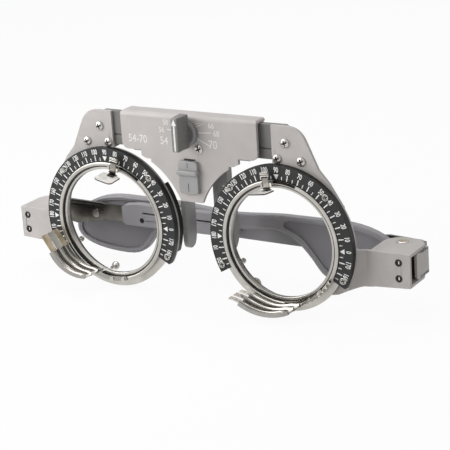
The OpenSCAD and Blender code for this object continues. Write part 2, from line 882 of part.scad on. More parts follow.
// Folded sheet round the hinge pin; its top cheek is cranked back to the leaf
module temple_root(side) {
    tab_low = -8.2;
    color(painted) temple(side) difference() {
        union() {
            for (z = [cheek_top - root_t, cheek_bottom]) {
                translate([0, 0, z]) cylinder(r = cheek_half, h = root_t);
                box([tail_out, -cheek_half, z], [0, tail_back, z + root_t]);
            }
            box([tail_out, tail_front, cheek_bottom], [tail_out + root_t, tail_back, cheek_top]);
            box([crank_out, 0, cheek_top - root_t], [crank_in, leaf_face, cheek_top]);
            box([crank_out, leaf_face - root_t, tab_low], [crank_in, leaf_face, cheek_top]);
        }
        translate([0, 0, cheek_bottom - 1])
            cylinder(r = hinge_pin_r + run_gap, h = cheek_top - cheek_bottom + 2);
    }
}

// Leaf spring: deep at the hinge, tapering to the strip that runs in the sleeve
module temple_leaf(side) {
    gusset_t = 1.3;
    gusset_z = leaf_top - 0.4;
    color(dark_nickel) temple(side) difference() {
        union() {
            sheet(leaf_face, leaf_face + leaf_t)
                polygon([[crank_out, cheek_top], [crank_in, cheek_top], [crank_in + 1.6, leaf_top + 0.9],
                    [leaf_full - 1, leaf_top + 0.4], [leaf_full, leaf_top], [leaf_end, leaf_top],
                    [leaf_end, leaf_bottom], [leaf_full, leaf_bottom], [2, leaf_bottom - 2.6],
                    [crank_out, leaf_bottom - 1.6]]);
            translate([0, 0, gusset_z - 0.6])
                linear_extrude(0.6)
                    polygon([[0, leaf_face - gusset_t], [leaf_full - 1, leaf_face],
                        [leaf_full - 1, leaf_face + 0.2], [0, leaf_face + 0.2]]);
        }
        rod(leaf_rivet[0], leaf_rivet[1], 0.9 + fit_gap, temple_offset - 2, temple_offset + 2);
    }
}

module leaf_rivet_stud(side) {
    head_r = 1.4;
    color(steel) temple(side) translate([leaf_rivet[0], temple_offset, leaf_rivet[1]]) union() {
        rod(0, 0, 0.9, -leaf_t / 2 - 0.3, leaf_t / 2 + 0.3);
        rod(0, 0, head_r, -leaf_t / 2 - 0.4, -leaf_t / 2);
        rod(0, 0, head_r, leaf_t / 2, leaf_t / 2 + 0.4);
    }
}

// Side view of the arm behind the sleeve: neck, flare and rounded ear paddle
module paddle_outline() {
    tip_z = -12.4;
    top_z = 0.6;
    low_z = -19.7;
    polygon(concat(
        [[sleeve_end - 6, -1.4], [72, -0.6]],
        bend([74, -0.5], [80, 0], [86, top_z], [92, top_z], 4),
        bend([108, top_z], [118, top_z], [temple_len, -3.5], [temple_len, tip_z], 10),
        bend([temple_len, tip_z], [temple_len, -17.6], [120, low_z], [109, low_z], 10),
        bend([109, low_z], [100.5, low_z], [99.5, -15.5], [97, -12.6], 8),
        bend([97, -12.6], [93.5, -8.6], [90, -4.6], [83, -4.6], 8),
        [[72, -5.7], [sleeve_end - 6, -5.7]]));
}

// Sunken field of the paddle, inside its rim
module recess_outline() {
    tip_u = temple_len - 1.7;
    tip_z = -12.4;
    top_z = -1.1;
    low_z = -18.1;
    polygon(concat(
        bend([108, top_z], [117, top_z], [tip_u, -4.4], [tip_u, tip_z], 10),
        bend([tip_u, tip_z], [tip_u, -16.4], [119.5, low_z], [109, low_z], 10),
        bend([109, low_z], [102.5, low_z], [101, -14.6], [98.6, -11.8], 8),
        bend([98.6, -11.8], [96.2, -8.8], [93.6, -5.4], [89.8, -4.4], 8),
        bend([89.8, -4.4], [86.4, -3.8], [86.4, -1.3], [89.8, top_z], 6),
        [[89.8, top_z]]));
}

module sleeve_outline() {
    polygon(concat(
        bend([sleeve_start, -3.2], [sleeve_start + 0.5, -2.4], [sleeve_start + 1.4, -2.2],
            [sleeve_start + 3, -2.1], 4),
        [[sleeve_start + 6.4, sleeve_top]],
        bend([sleeve_end + 1, sleeve_top], [sleeve_end + 4, -1.5], [sleeve_end + 5, -4],
            [sleeve_end + 4.5, -5.8], 5),
        bend([sleeve_end + 4.5, -5.8], [sleeve_end + 4, -8.2], [sleeve_end + 2.5, -9],
            [sleeve_end - 0.5, -9], 5),
        [[sleeve_end - 0.5, -9], [sleeve_start + 1, sleeve_bottom], [sleeve_start, sleeve_bottom + 1]]));
}

// Place of the sliding arm on its temple
module slid_arm(side) {
    temple(side) translate([side == left ? -left_slid : 0, 0, 0]) children();
}

// Arm that slides along the leaf
module temple_arm(side) {
    recess = 0.8;
    face = temple_offset - sleeve_t / 2;
    paddle_face = temple_offset - paddle_t / 2;
    color(plastic) slid_arm(side) difference() {
        union() {
            sheet(paddle_face, paddle_face + paddle_t) paddle_outline();
            sheet(face, face + sleeve_t) sleeve_outline();
        }
        box([sleeve_start - 1, leaf_face - slide_gap, leaf_bottom - slide_gap],
            [leaf_end + temple_travel + 1, leaf_face + leaf_t + slide_gap, leaf_top + slide_gap]);
        box([clamp_screw[0] + 0.5, face - 1, slot_z - 0.3], [sleeve_end - 2, leaf_face, slot_z + 0.3]);
        rod(clamp_screw[0], clamp_screw[1], clamp_r + fit_gap, face - 1, leaf_face);
        sheet(paddle_face - 1, paddle_face + recess) recess_outline();
    }
}

module clamp_screw_stud(side) {
    face = temple_offset - sleeve_t / 2;
    color(black) slid_arm(side) difference() {
        rod(clamp_screw[0], clamp_screw[1], clamp_r, face + 0.15, leaf_face - slide_gap);
        rod(clamp_screw[0], clamp_screw[1], clamp_r * 0.5, face, face + 0.5);
    }
}

bridge_cover();
bridge_back_plate();
bridge_screws();
pd_knob();
pd_pinion();
knob_clip();
nose_button();
nose_carrier();
nose_pads();
nose_screw();
slide_bar(left);  // left_slide_bar
frame_plate(left);  // left_frame_plate
shoulder_screw_set(left);  // left_shoulder_screws
bearing_ring(left);  // left_bearing_ring
scale_ring(left);  // left_scale_ring
scale_screw_set(left);  // left_scale_screws
nasal_block(left);  // left_nasal_block
rear_cell(left);  // left_rear_cell
rear_posts(left);  // left_rear_posts
hinge_pin(left);  // left_hinge_pin
stop_screw_set(left);  // left_stop_screws
cell_ring(left);  // left_cell_ring
lens_trough(left);  // left_lens_trough
trough_rivets(left);  // left_trough_rivets
catch_bracket(left);  // left_catch_bracket
catch_pin(left);  // left_catch_pin
catch_lever(left);  // left_catch_lever
temple_root(left);  // left_temple_root
temple_leaf(left);  // left_temple_leaf
leaf_rivet_stud(left);  // left_leaf_rivet
temple_arm(left);  // left_temple_arm
clamp_screw_stud(left);  // left_clamp_screw
slide_bar(right);  // right_slide_bar
frame_plate(right);  // right_frame_plate
shoulder_screw_set(right);  // right_shoulder_screws
bearing_ring(right);  // right_bearing_ring
scale_ring(right);  // right_scale_ring
scale_screw_set(right);  // right_scale_screws
nasal_block(right);  // right_nasal_block
rear_cell(right);  // right_rear_cell
rear_posts(right);  // right_rear_posts
hinge_pin(right);  // right_hinge_pin
stop_screw_set(right);  // right_stop_screws
cell_ring(right);  // right_cell_ring
lens_trough(right);  // right_lens_trough
trough_rivets(right);  // right_trough_rivets
catch_bracket(right);  // right_catch_bracket
catch_pin(right);  // right_catch_pin
catch_lever(right);  // right_catch_lever
temple_root(right);  // right_temple_root
temple_leaf(right);  // right_temple_leaf
leaf_rivet_stud(right);  // right_leaf_rivet
temple_arm(right);  // right_temple_arm
clamp_screw_stud(right);  // right_clamp_screw
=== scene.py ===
import math

import bmesh
import bpy
import numpy as np
from mathutils import Matrix, Vector


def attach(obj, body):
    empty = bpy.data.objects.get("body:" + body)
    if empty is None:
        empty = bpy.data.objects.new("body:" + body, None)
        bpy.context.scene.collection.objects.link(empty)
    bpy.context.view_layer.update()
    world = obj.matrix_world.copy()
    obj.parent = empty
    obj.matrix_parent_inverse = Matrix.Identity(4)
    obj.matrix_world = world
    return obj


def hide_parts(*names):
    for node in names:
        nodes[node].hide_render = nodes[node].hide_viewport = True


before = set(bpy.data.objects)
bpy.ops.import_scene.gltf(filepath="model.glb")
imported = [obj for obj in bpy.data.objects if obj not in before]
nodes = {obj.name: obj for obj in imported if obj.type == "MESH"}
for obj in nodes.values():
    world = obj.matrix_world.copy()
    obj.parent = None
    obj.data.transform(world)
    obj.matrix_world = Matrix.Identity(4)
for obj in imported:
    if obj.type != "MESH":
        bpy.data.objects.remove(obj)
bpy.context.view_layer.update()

# Trial lens frame for eye testing. The sizes below are in millimetres, seen from the front: x to the
# viewer's right, y away, z up, with the origin midway between the lens centres on the scale's face.
mm = 0.001
stand = {"backShift": 9.6044636, "lift": 21.9, "eyeX": 31.0, "knobZ": 31.8, "pinX": 64.5, "pinY": 15.2}
sideName = {-1: "left", 1: "right"}
cellTurn = {-1: -13.0, 1: 7.0}   # degrees each lens cell is turned from upright
sharpAngle = 38.0   # degrees: edges sharper than this stay crisp on smooth pieces
axisHole = 0.02   # least radius of a solid turned on its own axis
quarterTurn, halfTurn, fullTurn = math.pi / 2, math.pi, 2 * math.pi
print("frame loaded,", len(nodes), "nodes")


def toRow(points):
    # millimetres about the lens centres to the row frame: shift back, lift to the floor, then metres
    points = np.asarray(points, float)
    return (points + np.array([0.0, -stand["backShift"], stand["lift"]])) * mm


def eyeCentre(side):
    # the middle of one lens ring: half the lens distance out to that side
    return np.array([stand["eyeX"] * side, 0.0, 0.0])


def fromHex(code):
    # sRGB hex to linear light, with an alpha of one
    value = np.array([int(code[i:i + 2], 16) for i in (1, 3, 5)]) / 255.0
    linear = np.where(value <= 0.04045, value / 12.92, ((value + 0.055) / 1.055) ** 2.4)
    return (*linear.tolist(), 1.0)


def add(tree, kind, settings=None, links=None):
    # one node: settings go to its properties or, failing that, its input sockets; links are socket: source
    node = tree.nodes.new(kind)
    for key, value in (settings or {}).items():
        if isinstance(key, str) and hasattr(node, key):
            setattr(node, key, value)
        else:
            node.inputs[key].default_value = value
    for key, source in (links or {}).items():
        tree.links.new(source, node.inputs[key])
    return node


def newMaterial(name):
    # a material with an empty node tree
    material = bpy.data.materials.new(name)
    material.use_nodes = True
    material.node_tree.nodes.clear()
    return material, material.node_tree


# sprayed and stoved: satin, a fine orange peel, faint clouds in the colour
enamel = {"cloudDetail": 3.0, "grainDetail": 2.0, "roughTimes": (1.0, 1.0), "roughPlus": (-0.05, 0.05),
          "bump": 0.25, "ior": 1.5, "metal": 0.0, "stretch": None}
# injection-moulded in a spark-eroded tool: matt, a fine grain, a little sheen on edges
moulding = {"cloudDetail": 1.0, "grainDetail": 3.0, "roughTimes": (1.0, 1.0), "roughPlus": (-0.06, 0.06),
            "bump": 0.3, "ior": 1.53, "metal": 0.0, "stretch": None}
# plated or polished metal: mirror to satin, with fine brushing or the haze of handling
plating = {"cloudDetail": 2.0, "grainDetail": 4.0, "roughTimes": (0.7, 1.4), "roughPlus": (0.0, 0.0),
           "deep": 0.01, "ior": 1.5, "metal": 1.0, "stretch": (1.0, 1.0, 1.0)}
cloudRange = {"From Min": 0.3, "From Max": 0.7}


def newFinish(name, process, **setting):
    # colour: two shades mixed by a coarse noise; roughness and bump: a fine noise, stretched where brushed
    s = {**process, **setting}
    material, tree = newMaterial(name)
    place = along = add(tree, "ShaderNodeTexCoord").outputs["Object"]
    if s["stretch"]:
        along = add(tree, "ShaderNodeMapping", {"Scale": s["stretch"]}, {"Vector": place}).outputs["Vector"]
    cloud = add(tree, "ShaderNodeTexNoise", {"Scale": 1 / (s["cloudMm"] * mm), "Detail": s["cloudDetail"]},
                {"Vector": place}).outputs["Fac"]
    grain = add(tree, "ShaderNodeTexNoise", {"Scale": 1 / (s["grainMm"] * mm), "Detail": s["grainDetail"]},
                {"Vector": along}).outputs["Fac"]
    share = add(tree, "ShaderNodeMapRange", cloudRange, {"Value": cloud})
    tint = add(tree, "ShaderNodeMix", {"data_type": "RGBA", 6: fromHex(s["shade"]), 7: fromHex(s["light"])},
               {0: share.outputs["Result"]})
    low, high = (s["rough"] * times + plus for times, plus in zip(s["roughTimes"], s["roughPlus"]))
    gloss = add(tree, "ShaderNodeMapRange", {"To Min": low, "To Max": high}, {"Value": grain})
    bump = add(tree, "ShaderNodeBump", {"Strength": s["bump"], "Distance": s["deep"] * mm}, {"Height": grain})
    skin = add(tree, "ShaderNodeBsdfPrincipled", {"IOR": s["ior"], "Metallic": s["metal"]},
               {"Base Color": tint.outputs[2], "Roughness": gloss.outputs["Result"],
                "Normal": bump.outputs["Normal"]})
    add(tree, "ShaderNodeOutputMaterial", None, {"Surface": skin.outputs["BSDF"]})
    return material


warmGreyPaint = newFinish(
    "warm_grey_stove_enamel", enamel,   # the pale warm grey of the bridge, plates and lugs
    shade="#B3AEAB", light="#BDB8B5", cloudMm=9.0, grainMm=0.5, deep=0.02, rough=0.42)
blackScaleAndShade = newFinish(
    "black_anodised_scale", enamel,   # the matt black of the scales; in gaps and recesses it is painted shade
    shade="#0E0F0F", light="#171818", cloudMm=5.0, grainMm=0.4, deep=0.01, rough=0.5)
darkGreyMetal = newFinish(
    "dark_grey_bar_enamel", enamel,   # the darker slide bars and back plate
    shade="#6F6D6C", light="#787675", cloudMm=8.0, grainMm=0.5, deep=0.02, rough=0.45)
knobPlastic = newFinish(
    "dark_grey_knob_abs", moulding,   # the knob, glossier than the other plastic
    shade="#767573", light="#7F7E7B", cloudMm=8.0, grainMm=0.4, deep=0.02, rough=0.26)
darkGreyPlastic = newFinish(
    "grey_nose_rest_abs", moulding,   # the matt grey nose rest
    shade="#969595", light="#A09F9F", cloudMm=8.0, grainMm=0.4, deep=0.02, rough=0.5)
greyPlastic = newFinish(
    "mid_grey_moulded_abs", moulding,   # the temple arms, slightly blue against the paint
    shade="#8E8C8F", light="#979599", cloudMm=14.0, grainMm=0.5, deep=0.02, rough=0.48)
recessShadePlastic = newFinish(
    "grey_abs_painted_recess_shade", moulding,   # the duller panel of the ear paddles, its darker grey painted shade of the sunken field
    shade="#7D7B7F", light="#868488", cloudMm=14.0, grainMm=0.6, deep=0.03, rough=0.6)
satinNickel = newFinish(
    "satin_nickel_plate", plating,   # soft broad highlights on the lens rings
    shade="#B0ADA7", light="#C6C3BD", cloudMm=6.0, grainMm=0.35, stretch=(1.0, 0.15, 1.0),
    rough=0.3, bump=0.2)
polishedSteel = newFinish(
    "bright_chrome_plate", plating,   # bright screw heads and studs
    shade="#B5B2AD", light="#C9C6C1", cloudMm=7.0, grainMm=1.2, rough=0.22, bump=0.015)
springSteel = newFinish(
    "bright_spring_steel", plating,   # hard light and dark bands on the troughs
    shade="#96938E", light="#ADAAA5", cloudMm=5.0, grainMm=1.2, rough=0.15, bump=0.015)
darkNickelAndSlotShade = newFinish(
    "dark_nickel_and_painted_slot_shade", plating,   # lengthwise brushing on the brownish leaf springs; painted shade on the left trough's inner slot
    shade="#56534E", light="#827E78", cloudMm=9.0, grainMm=0.4, stretch=(0.08, 1.0, 1.0),
    rough=0.28, bump=0.1)
paleNickelAndGlint = newFinish(
    "pale_matt_nickel_and_painted_glint", plating,   # nearly white, without clear reflections; also the painted glints in the set screw holes
    shade="#DAD8D4", light="#E6E4E0", cloudMm=5.0, grainMm=0.8, stretch=(1.0, 0.3, 1.0),
    rough=0.5, bump=0.02)
leverSteel = newFinish(
    "ground_lever_steel", plating,   # mid grey thumb catches with upright grinding marks
    shade="#85827D", light="#9E9B96", cloudMm=1.5, grainMm=0.8, stretch=(1.0, 1.0, 0.2),
    rough=0.24, bump=0.03)
bluedSteelAndShade = newFinish(
    "blued_spring_steel_and_painted_shade", plating,   # dark outlines of the catches; painted shade in their groove lines, under their feet and on the collar
    shade="#201F1E", light="#2E2D2B", cloudMm=4.0, grainMm=0.6, stretch=(1.0, 1.0, 0.3),
    rough=0.3, bump=0.03)
wornBrass = newFinish(
    "nickel_worn_to_brass", plating,   # yellow showing through at rubbed places
    shade="#A8987D", light="#C6BAA4", cloudMm=2.6, grainMm=0.8, stretch=(1.0, 0.2, 1.0),
    rough=0.24, bump=0.03)
whitePrint = newFinish(
    "white_screen_print", enamel,   # the scale's numbers and the arrow
    shade="#E4E4E2", light="#F2F2F0", cloudMm=1.0, grainMm=0.3, deep=0.005, rough=0.6)
palePrint = newFinish(
    "pale_grey_screen_print", enamel,   # the dial's fainter numbers
    shade="#DEDCDA", light="#E8E6E4", cloudMm=1.0, grainMm=0.3, deep=0.005, rough=0.6)

finishOf = {
    "painted_grey": warmGreyPaint, "dark_grey_plastic": darkGreyPlastic, "dark_grey_metal": darkGreyMetal,
    "black_scale": blackScaleAndShade, "nickel": satinNickel, "polished_steel": polishedSteel,
    "dark_nickel": darkNickelAndSlotShade, "grey_plastic": greyPlastic}
for node in nodes.values():
    for slot in node.material_slots:
        key = slot.material.name.split(".")[0]
        slot.material = finishOf.get(key, warmGreyPaint)
        if key not in finishOf:
            print("no finish for", node.name, key)
print("finishes given to the nodes")


def makePiece(name, part, material, body, smooth=False, standsFor=None):
    # part: points in millimetres and faces as index rows, set in row-frame metres on an object at the origin;
    # standsFor names the node that the piece shows instead of
    points, faces = part
    mesh = bpy.data.meshes.new(name)
    mesh.from_pydata(toRow(points).reshape(-1, 3).tolist(), [], [list(f) for f in faces])
    mesh.materials.append(material)
    shell = bmesh.new()
    shell.from_mesh(mesh)
    bmesh.ops.recalc_face_normals(shell, faces=shell.faces)
    shell.to_mesh(mesh)
    shell.free()
    mesh.polygons.foreach_set("use_smooth", np.full(len(mesh.polygons), smooth))
    if smooth:
        mesh.set_sharp_from_angle(angle=math.radians(sharpAngle))
    mesh.update()
    piece = bpy.data.objects.new(name, mesh)
    bpy.context.scene.collection.objects.link(piece)
    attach(piece, body)
    if standsFor:
        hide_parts(standsFor)


def sidePiece(side, what, part, material, body, smooth=False, standsFor=None):
    # a piece of one side: name, body and node begin with the side; the left temple does not fold and rides on
    # its carriage
    name = sideName[side] + "_"
    body = "carriage" if body == "temple" and side < 0 else body
    makePiece(name + what, part, material, name + body, smooth, standsFor and name + standsFor)


boxFaces = np.array([[0, 1, 2, 3], [7, 6, 5, 4], [0, 4, 5, 1], [1, 5, 6, 2], [2, 6, 7, 3], [3, 7, 4, 0]])


def oblong(x0, z0, x1, z1):
    # the four corners of a rectangle, anticlockwise from the lower left
    return [[x0, z0], [x1, z0], [x1, z1], [x0, z1]]


def dashBlocks(corners, front, back):
    # flat four-cornered marks (n, 4, 2) in x and z, anticlockwise from the front, as thin closed blocks
    corners = np.asarray(corners, float)
    n = len(corners)
    ends = [np.concatenate([corners[:, :, :1], np.full((n, 4, 1), y), corners[:, :, 1:]], 2)
            for y in (front, back)]
    points = np.concatenate(ends, 1).reshape(-1, 3)
    return points, (boxFaces[None] + 8 * np.arange(n)[:, None, None]).reshape(-1, 4)


def solidFromLoops(loops, closedPath=False):
    # loops (m, n, 3): m closed outlines of n points along a path, skinned with quads, open ends capped
    m, n = loops.shape[:2]
    i, j = np.meshgrid(np.arange(m if closedPath else m - 1), np.arange(n), indexing="ij")
    nextI, nextJ = (i + 1) % m, (j + 1) % n
    corners = [i * n + j, i * n + nextJ, nextI * n + nextJ, nextI * n + j]
    faces = np.stack(corners, -1).reshape(-1, 4).tolist()
    if not closedPath:
        faces += [list(range(n))[::-1], list(range((m - 1) * n, m * n))]
    return loops.reshape(-1, 3), faces


def joinParts(parts):
    # several (points, faces) pairs as one
    points, faces, count = [], [], 0
    for p, f in parts:
        points.append(np.asarray(p, float))
        faces += [[int(v) + count for v in face] for face in f]
        count += len(p)
    return np.concatenate(points), faces


def shifted(part, x=0.0, y=0.0, z=0.0):
    # the same part moved along the three axes
    return part[0] + np.array([x, y, z]), part[1]


def grid(*columns):
    # coordinates of matching shapes, spread to one shape and put side by side as points
    return np.stack(np.broadcast_arrays(*columns), -1)


def onEye(part, side, degrees=0.0):
    # a part drawn about the lens axis: turned anticlockwise as seen from the front, set on its lens centre
    a = math.radians(degrees)
    x, y, z = np.moveaxis(np.asarray(part[0], float), -1, 0)
    turned = grid(x * math.cos(a) - z * math.sin(a), y, x * math.sin(a) + z * math.cos(a))
    return turned + eyeCentre(side), part[1]


def around(radius, depth, angle):
    # polar place about the lens axis: angle from the viewer's right, radius outwards, depth along y
    return grid(radius * np.cos(angle), depth, radius * np.sin(angle))


def lathe(profile, steps, start=0.0, sweep=360.0):
    # a closed outline of (radius, depth) carried round the lens axis
    profile = np.asarray(profile, float)
    full = sweep >= 360.0
    angle = np.radians(start + np.linspace(0.0, sweep, steps, endpoint=not full))
    return solidFromLoops(around(profile[None, :, 0], profile[None, :, 1], angle[:, None]), full)


def circle(steps):
    # even angles once round, without the repeated last one
    return np.linspace(0.0, fullTurn, steps, endpoint=False)


def discPlan(x, y, radius, steps):
    # points of a circle about (x, y)
    return grid(x + radius * np.cos(circle(steps)), y + radius * np.sin(circle(steps)))


def layers(outline, levels, axis):
    # a flat outline repeated at each level of the given axis, the outline's two columns on the other axes
    outline = np.asarray(outline, float)
    flat = np.broadcast_to(outline, (len(levels), *outline.shape))
    columns = [flat[..., 0], flat[..., 1]]
    columns.insert(axis, np.broadcast_to(np.asarray(levels, float)[:, None], flat.shape[:2]))
    return grid(*columns)


def roundedLoop(halfWide, halfThick, corner, steps=5):
    # a rectangle with rounded corners, anticlockwise, as (across, through) pairs
    t = np.linspace(0.0, quarterTurn, steps)
    quarter = grid(np.cos(t), np.sin(t)) * corner
    inner = np.array([halfWide - corner, halfThick - corner])
    flips = [(1, 1, 1), (-1, 1, -1), (-1, -1, 1), (1, -1, -1)]
    return np.concatenate([(quarter[::d] + inner) * np.array([sx, sy]) for sx, sy, d in flips])


def thereAndBack(values):
    # a row followed by itself in reverse
    return np.concatenate([values, values[::-1]])


printing = {"thick": 0.03, "sunk": 0.01, "capShare": 0.7, "curveSteps": 3}


def printBlocks(corners, face):
    # marks that stand a print's thickness out of the face and reach a little into it
    return dashBlocks(corners, face - printing["thick"], face + printing["sunk"])


def printLetters(labels, face, bold):
    # each label is (text, height, narrowing, x, z, turn): font outlines as thin solids across the face
    parts = []
    for text, height, narrow, x, z, turn in labels:
        curve = bpy.data.curves.new("label", "FONT")
        curve.body, curve.size, curve.extrude = text, 1.0, 0.5
        curve.align_x, curve.align_y = "CENTER", "CENTER"
        curve.resolution_u, curve.offset = printing["curveSteps"], bold
        holder = bpy.data.objects.new("label", curve)
        mesh = bpy.data.meshes.new_from_object(holder)
        flat = np.empty(len(mesh.vertices) * 3)
        mesh.vertices.foreach_get("co", flat)
        flat = flat.reshape(-1, 3)
        v = flat[:, 1] * height / printing["capShare"]
        u = flat[:, 0] * height * narrow / printing["capShare"]
        c, s = math.cos(turn), math.sin(turn)
        points = grid(x + u * c - v * s, -flat[:, 2] * printing["thick"] * 2, z + u * s + v * c)
        parts.append((points, [list(face.vertices) for face in mesh.polygons]))
        bpy.data.objects.remove(holder)
        bpy.data.curves.remove(curve)
        bpy.data.meshes.remove(mesh)
    return shifted(joinParts(parts), y=face)


def rayMarks(angles, inner, outer, halfIn, halfOut):
    # four-cornered marks along rays from the axis, with their half widths at the inner and outer radius
    radial = grid(np.cos(angles), np.sin(angles))
    across = grid(-np.sin(angles), np.cos(angles))
    inner, outer, halfIn, halfOut = (np.broadcast_to(v, len(angles))[:, None]
                                     for v in (inner, outer, halfIn, halfOut))
    return np.stack([radial * inner - across * halfIn, radial * outer - across * halfOut,
                     radial * outer + across * halfOut, radial * inner + across * halfIn], 1)


scalePrint = {
    "from": -25, "to": 205, "every": 5, "longEvery": 10, "tickIn": 20.2, "shortOut": 21.3, "longOut": 22.0,
    "shortWide": 0.24, "longWide": 0.34, "marks": (0, 90, 180), "markIn": 20.3, "markOut": 21.8,
    "markPoint": 0.04, "markHalf": 0.85, "numbers": range(-20, 201, 10), "digitRadius": 23.1,
    "digitHigh": 1.65, "digitNarrow": 0.66, "face": 0.0, "bold": 0.018}


def scaleMarks(side):
    # ticks at even angles between two radii, triangles with the point inwards, numbers outside the ticks
    s = scalePrint
    angles = np.arange(s["from"], s["to"] + 1, s["every"])
    angles = angles[~np.isin(angles, s["marks"])]
    long = angles % s["longEvery"] == 0
    half = np.where(long, s["longWide"], s["shortWide"]) / 2
    outer = np.where(long, s["longOut"], s["shortOut"])
    ticks = rayMarks(np.radians(angles), s["tickIn"], outer, half, half)
    marks = rayMarks(np.radians(s["marks"]), s["markIn"], s["markOut"], s["markPoint"], s["markHalf"])
    labels = []
    for value in s["numbers"]:
        t = math.radians(value)
        x, z = s["digitRadius"] * math.cos(t), s["digitRadius"] * math.sin(t)
        text = str(value % 180 if value != 180 else 180)
        labels.append((text, s["digitHigh"], s["digitNarrow"], x, z, t - quarterTurn))
    part = joinParts([printBlocks(np.concatenate([ticks, marks]), s["face"]),
                      printLetters(labels, s["face"], s["bold"])])
    sidePiece(side, "scale_print", onEye(part, side), whitePrint, "carriage")


scaleMarks(-1)
scaleMarks(1)
print("degree scales printed")

dialPrint = {
    "face": 1.0, "tickIn": 3.9, "tickLeft": 7.3, "tickRight": 8.5, "tickWide": 0.28, "tickTop": 35.5,
    "rays": (56, 64, 65, 66, 68, 70), "upright": 62, "degreesPerMm": 14.32, "narrow": 0.85,
    "numbers": [("58", 1.7, -7.7, 34.4), ("56", 1.7, -9.3, 32.0), ("54", 2.5, -8.65, 28.5),
                ("66", 1.8, 8.7, 34.6), ("68", 1.8, 10.4, 32.2), ("70", 2.6, 8.95, 28.6),
                ("54-70", 2.5, -18.4, 28.4)]}


def dialMarks():
    # rays from the knob's axis at printed lens distances, cut off level at the top; upright numbers outside
    d = dialPrint
    values = np.array(d["rays"])
    turn = np.radians(90.0 - (values - d["upright"]) * d["degreesPerMm"])
    reach = np.where(values > d["upright"], d["tickRight"], d["tickLeft"])
    rays = rayMarks(turn, d["tickIn"], reach, d["tickWide"] / 2, d["tickWide"] / 2)
    rays[:, :, 1] = np.minimum(rays[:, :, 1] + stand["knobZ"], d["tickTop"])
    labels = [(text, high, d["narrow"], x, z, 0.0) for text, high, x, z in d["numbers"]]
    part = joinParts([printBlocks(rays, d["face"]), printLetters(labels, d["face"], 0.0)])
    makePiece("dial_print", part, palePrint, "bridge")


knobSetting = {
    "front": -6.2, "back": -0.2, "frontHalf": 1.1, "backHalf": 1.6, "low": -4.4, "high": 6.4, "corner": 0.25,
    "endRound": 0.5, "endSteps": 6, "steps": 72,
    "disc": [[0.02, -0.3], [3.8, -0.3], [3.9, -0.2], [3.9, 0.95], [0.02, 0.95]]}


def knobGrip():
    # grip: a rounded section, wider at the back, carried up and drawn in by a quarter circle at both ends;
    # disc: a short cylinder with a broken edge, turned on the knob's axis
    k = knobSetting
    t = np.linspace(0.0, quarterTurn, k["endSteps"])
    drawn = thereAndBack(k["endRound"] * (1 - np.sin(t)))[:, None]
    ends = k["endRound"] * (1 - np.cos(t))
    z = np.concatenate([k["low"] + ends, k["high"] - ends[::-1]])[:, None]
    middle, deep = (k["front"] + k["back"]) / 2, (k["back"] - k["front"]) / 2
    section = roundedLoop(k["frontHalf"], deep, k["corner"])
    wide = section[:, 0] * np.interp(middle + section[:, 1], [k["front"], k["back"]],
                                     [1.0, k["backHalf"] / k["frontHalf"]])
    grip = grid(wide[None] * (1 - drawn / k["frontHalf"]),
                middle + section[None, :, 1] * (1 - drawn / deep), z)
    part = shifted(joinParts([solidFromLoops(grip), lathe(k["disc"], k["steps"])]), z=stand["knobZ"])
    makePiece("knob_grip", part, knobPlastic, "pd_dial", True, "pd_knob")


arrowPrint = {
    "stem": (-0.275, -4.0, 0.275, 4.0), "head": [[-0.85, 4.0], [0.85, 4.0], [0.05, 5.9], [-0.05, 5.9]]}


def knobArrow():
    # a stem block and a triangular head block on the grip's front edge
    marks = printBlocks([oblong(*arrowPrint["stem"]), arrowPrint["head"]], knobSetting["front"])
    part = shifted(marks, z=stand["knobZ"])
    makePiece("knob_arrow_print", part, whitePrint, "pd_dial")


rimSetting = {
    "steps": 72,
    "profile": [[2.9, -0.25], [2.9, -0.4], [3.175, -0.55], [3.575, -0.55], [3.85, -0.4], [3.85, -0.25]]}


def knobRim():
    # a raised rim round the knob's disc, turned about the knob's axis
    part = shifted(lathe(rimSetting["profile"], rimSetting["steps"]), z=stand["knobZ"])
    makePiece("knob_disc_rim", part, greyPlastic, "pd_dial", True)


dialMarks()
knobGrip()
knobArrow()
knobRim()
print("dial and arrow printed")

ringSetting = {
    "flange": [[17.52, 2.0], [21.78, 2.0], [21.9, 1.88], [21.9, 1.12], [21.78, 1.0], [19.9, 1.0]],
    "lip": [[18.66, 1.0], [18.3, 1.0], [18.3, 0.62], [18.18, 0.5], [17.52, 0.5], [17.4, 0.62], [17.4, 1.88]],
    "collarIn": 18.66, "collarOut": 19.9, "collarFront": -0.4, "roundOff": 0.3, "roundSteps": 5, "steps": 144,
    "felt": (18.31, 0.98, 18.65, 0.05), "lipShadeSteps": 96}


def turningRing(side):
    # flange with a thin rolled collar in front and a low lip round the bore: one closed outline of radius and
    # depth, turned on the lens axis; a thin black ring in the groove between collar and lip is painted shade
    r = ringSetting
    t = np.linspace(0.0, quarterTurn, r["roundSteps"])
    near, far = r["roundOff"] * (1 - np.sin(t)), r["roundOff"] * (1 - np.cos(t))
    outline = np.concatenate([r["flange"], grid(r["collarOut"] - far, r["collarFront"] + near),
                              grid(r["collarIn"] + near, r["collarFront"] + far), r["lip"]])
    ring, felt = lathe(outline, r["steps"]), lathe(oblong(*r["felt"]), r["lipShadeSteps"])
    sidePiece(side, "turning_ring", onEye(ring, side), satinNickel, "cell", True, "cell_ring")
    # the thin black ring stands for the shade in the groove: painted shade
    sidePiece(side, "friction_felt", onEye(felt, side), blackScaleAndShade, "cell")


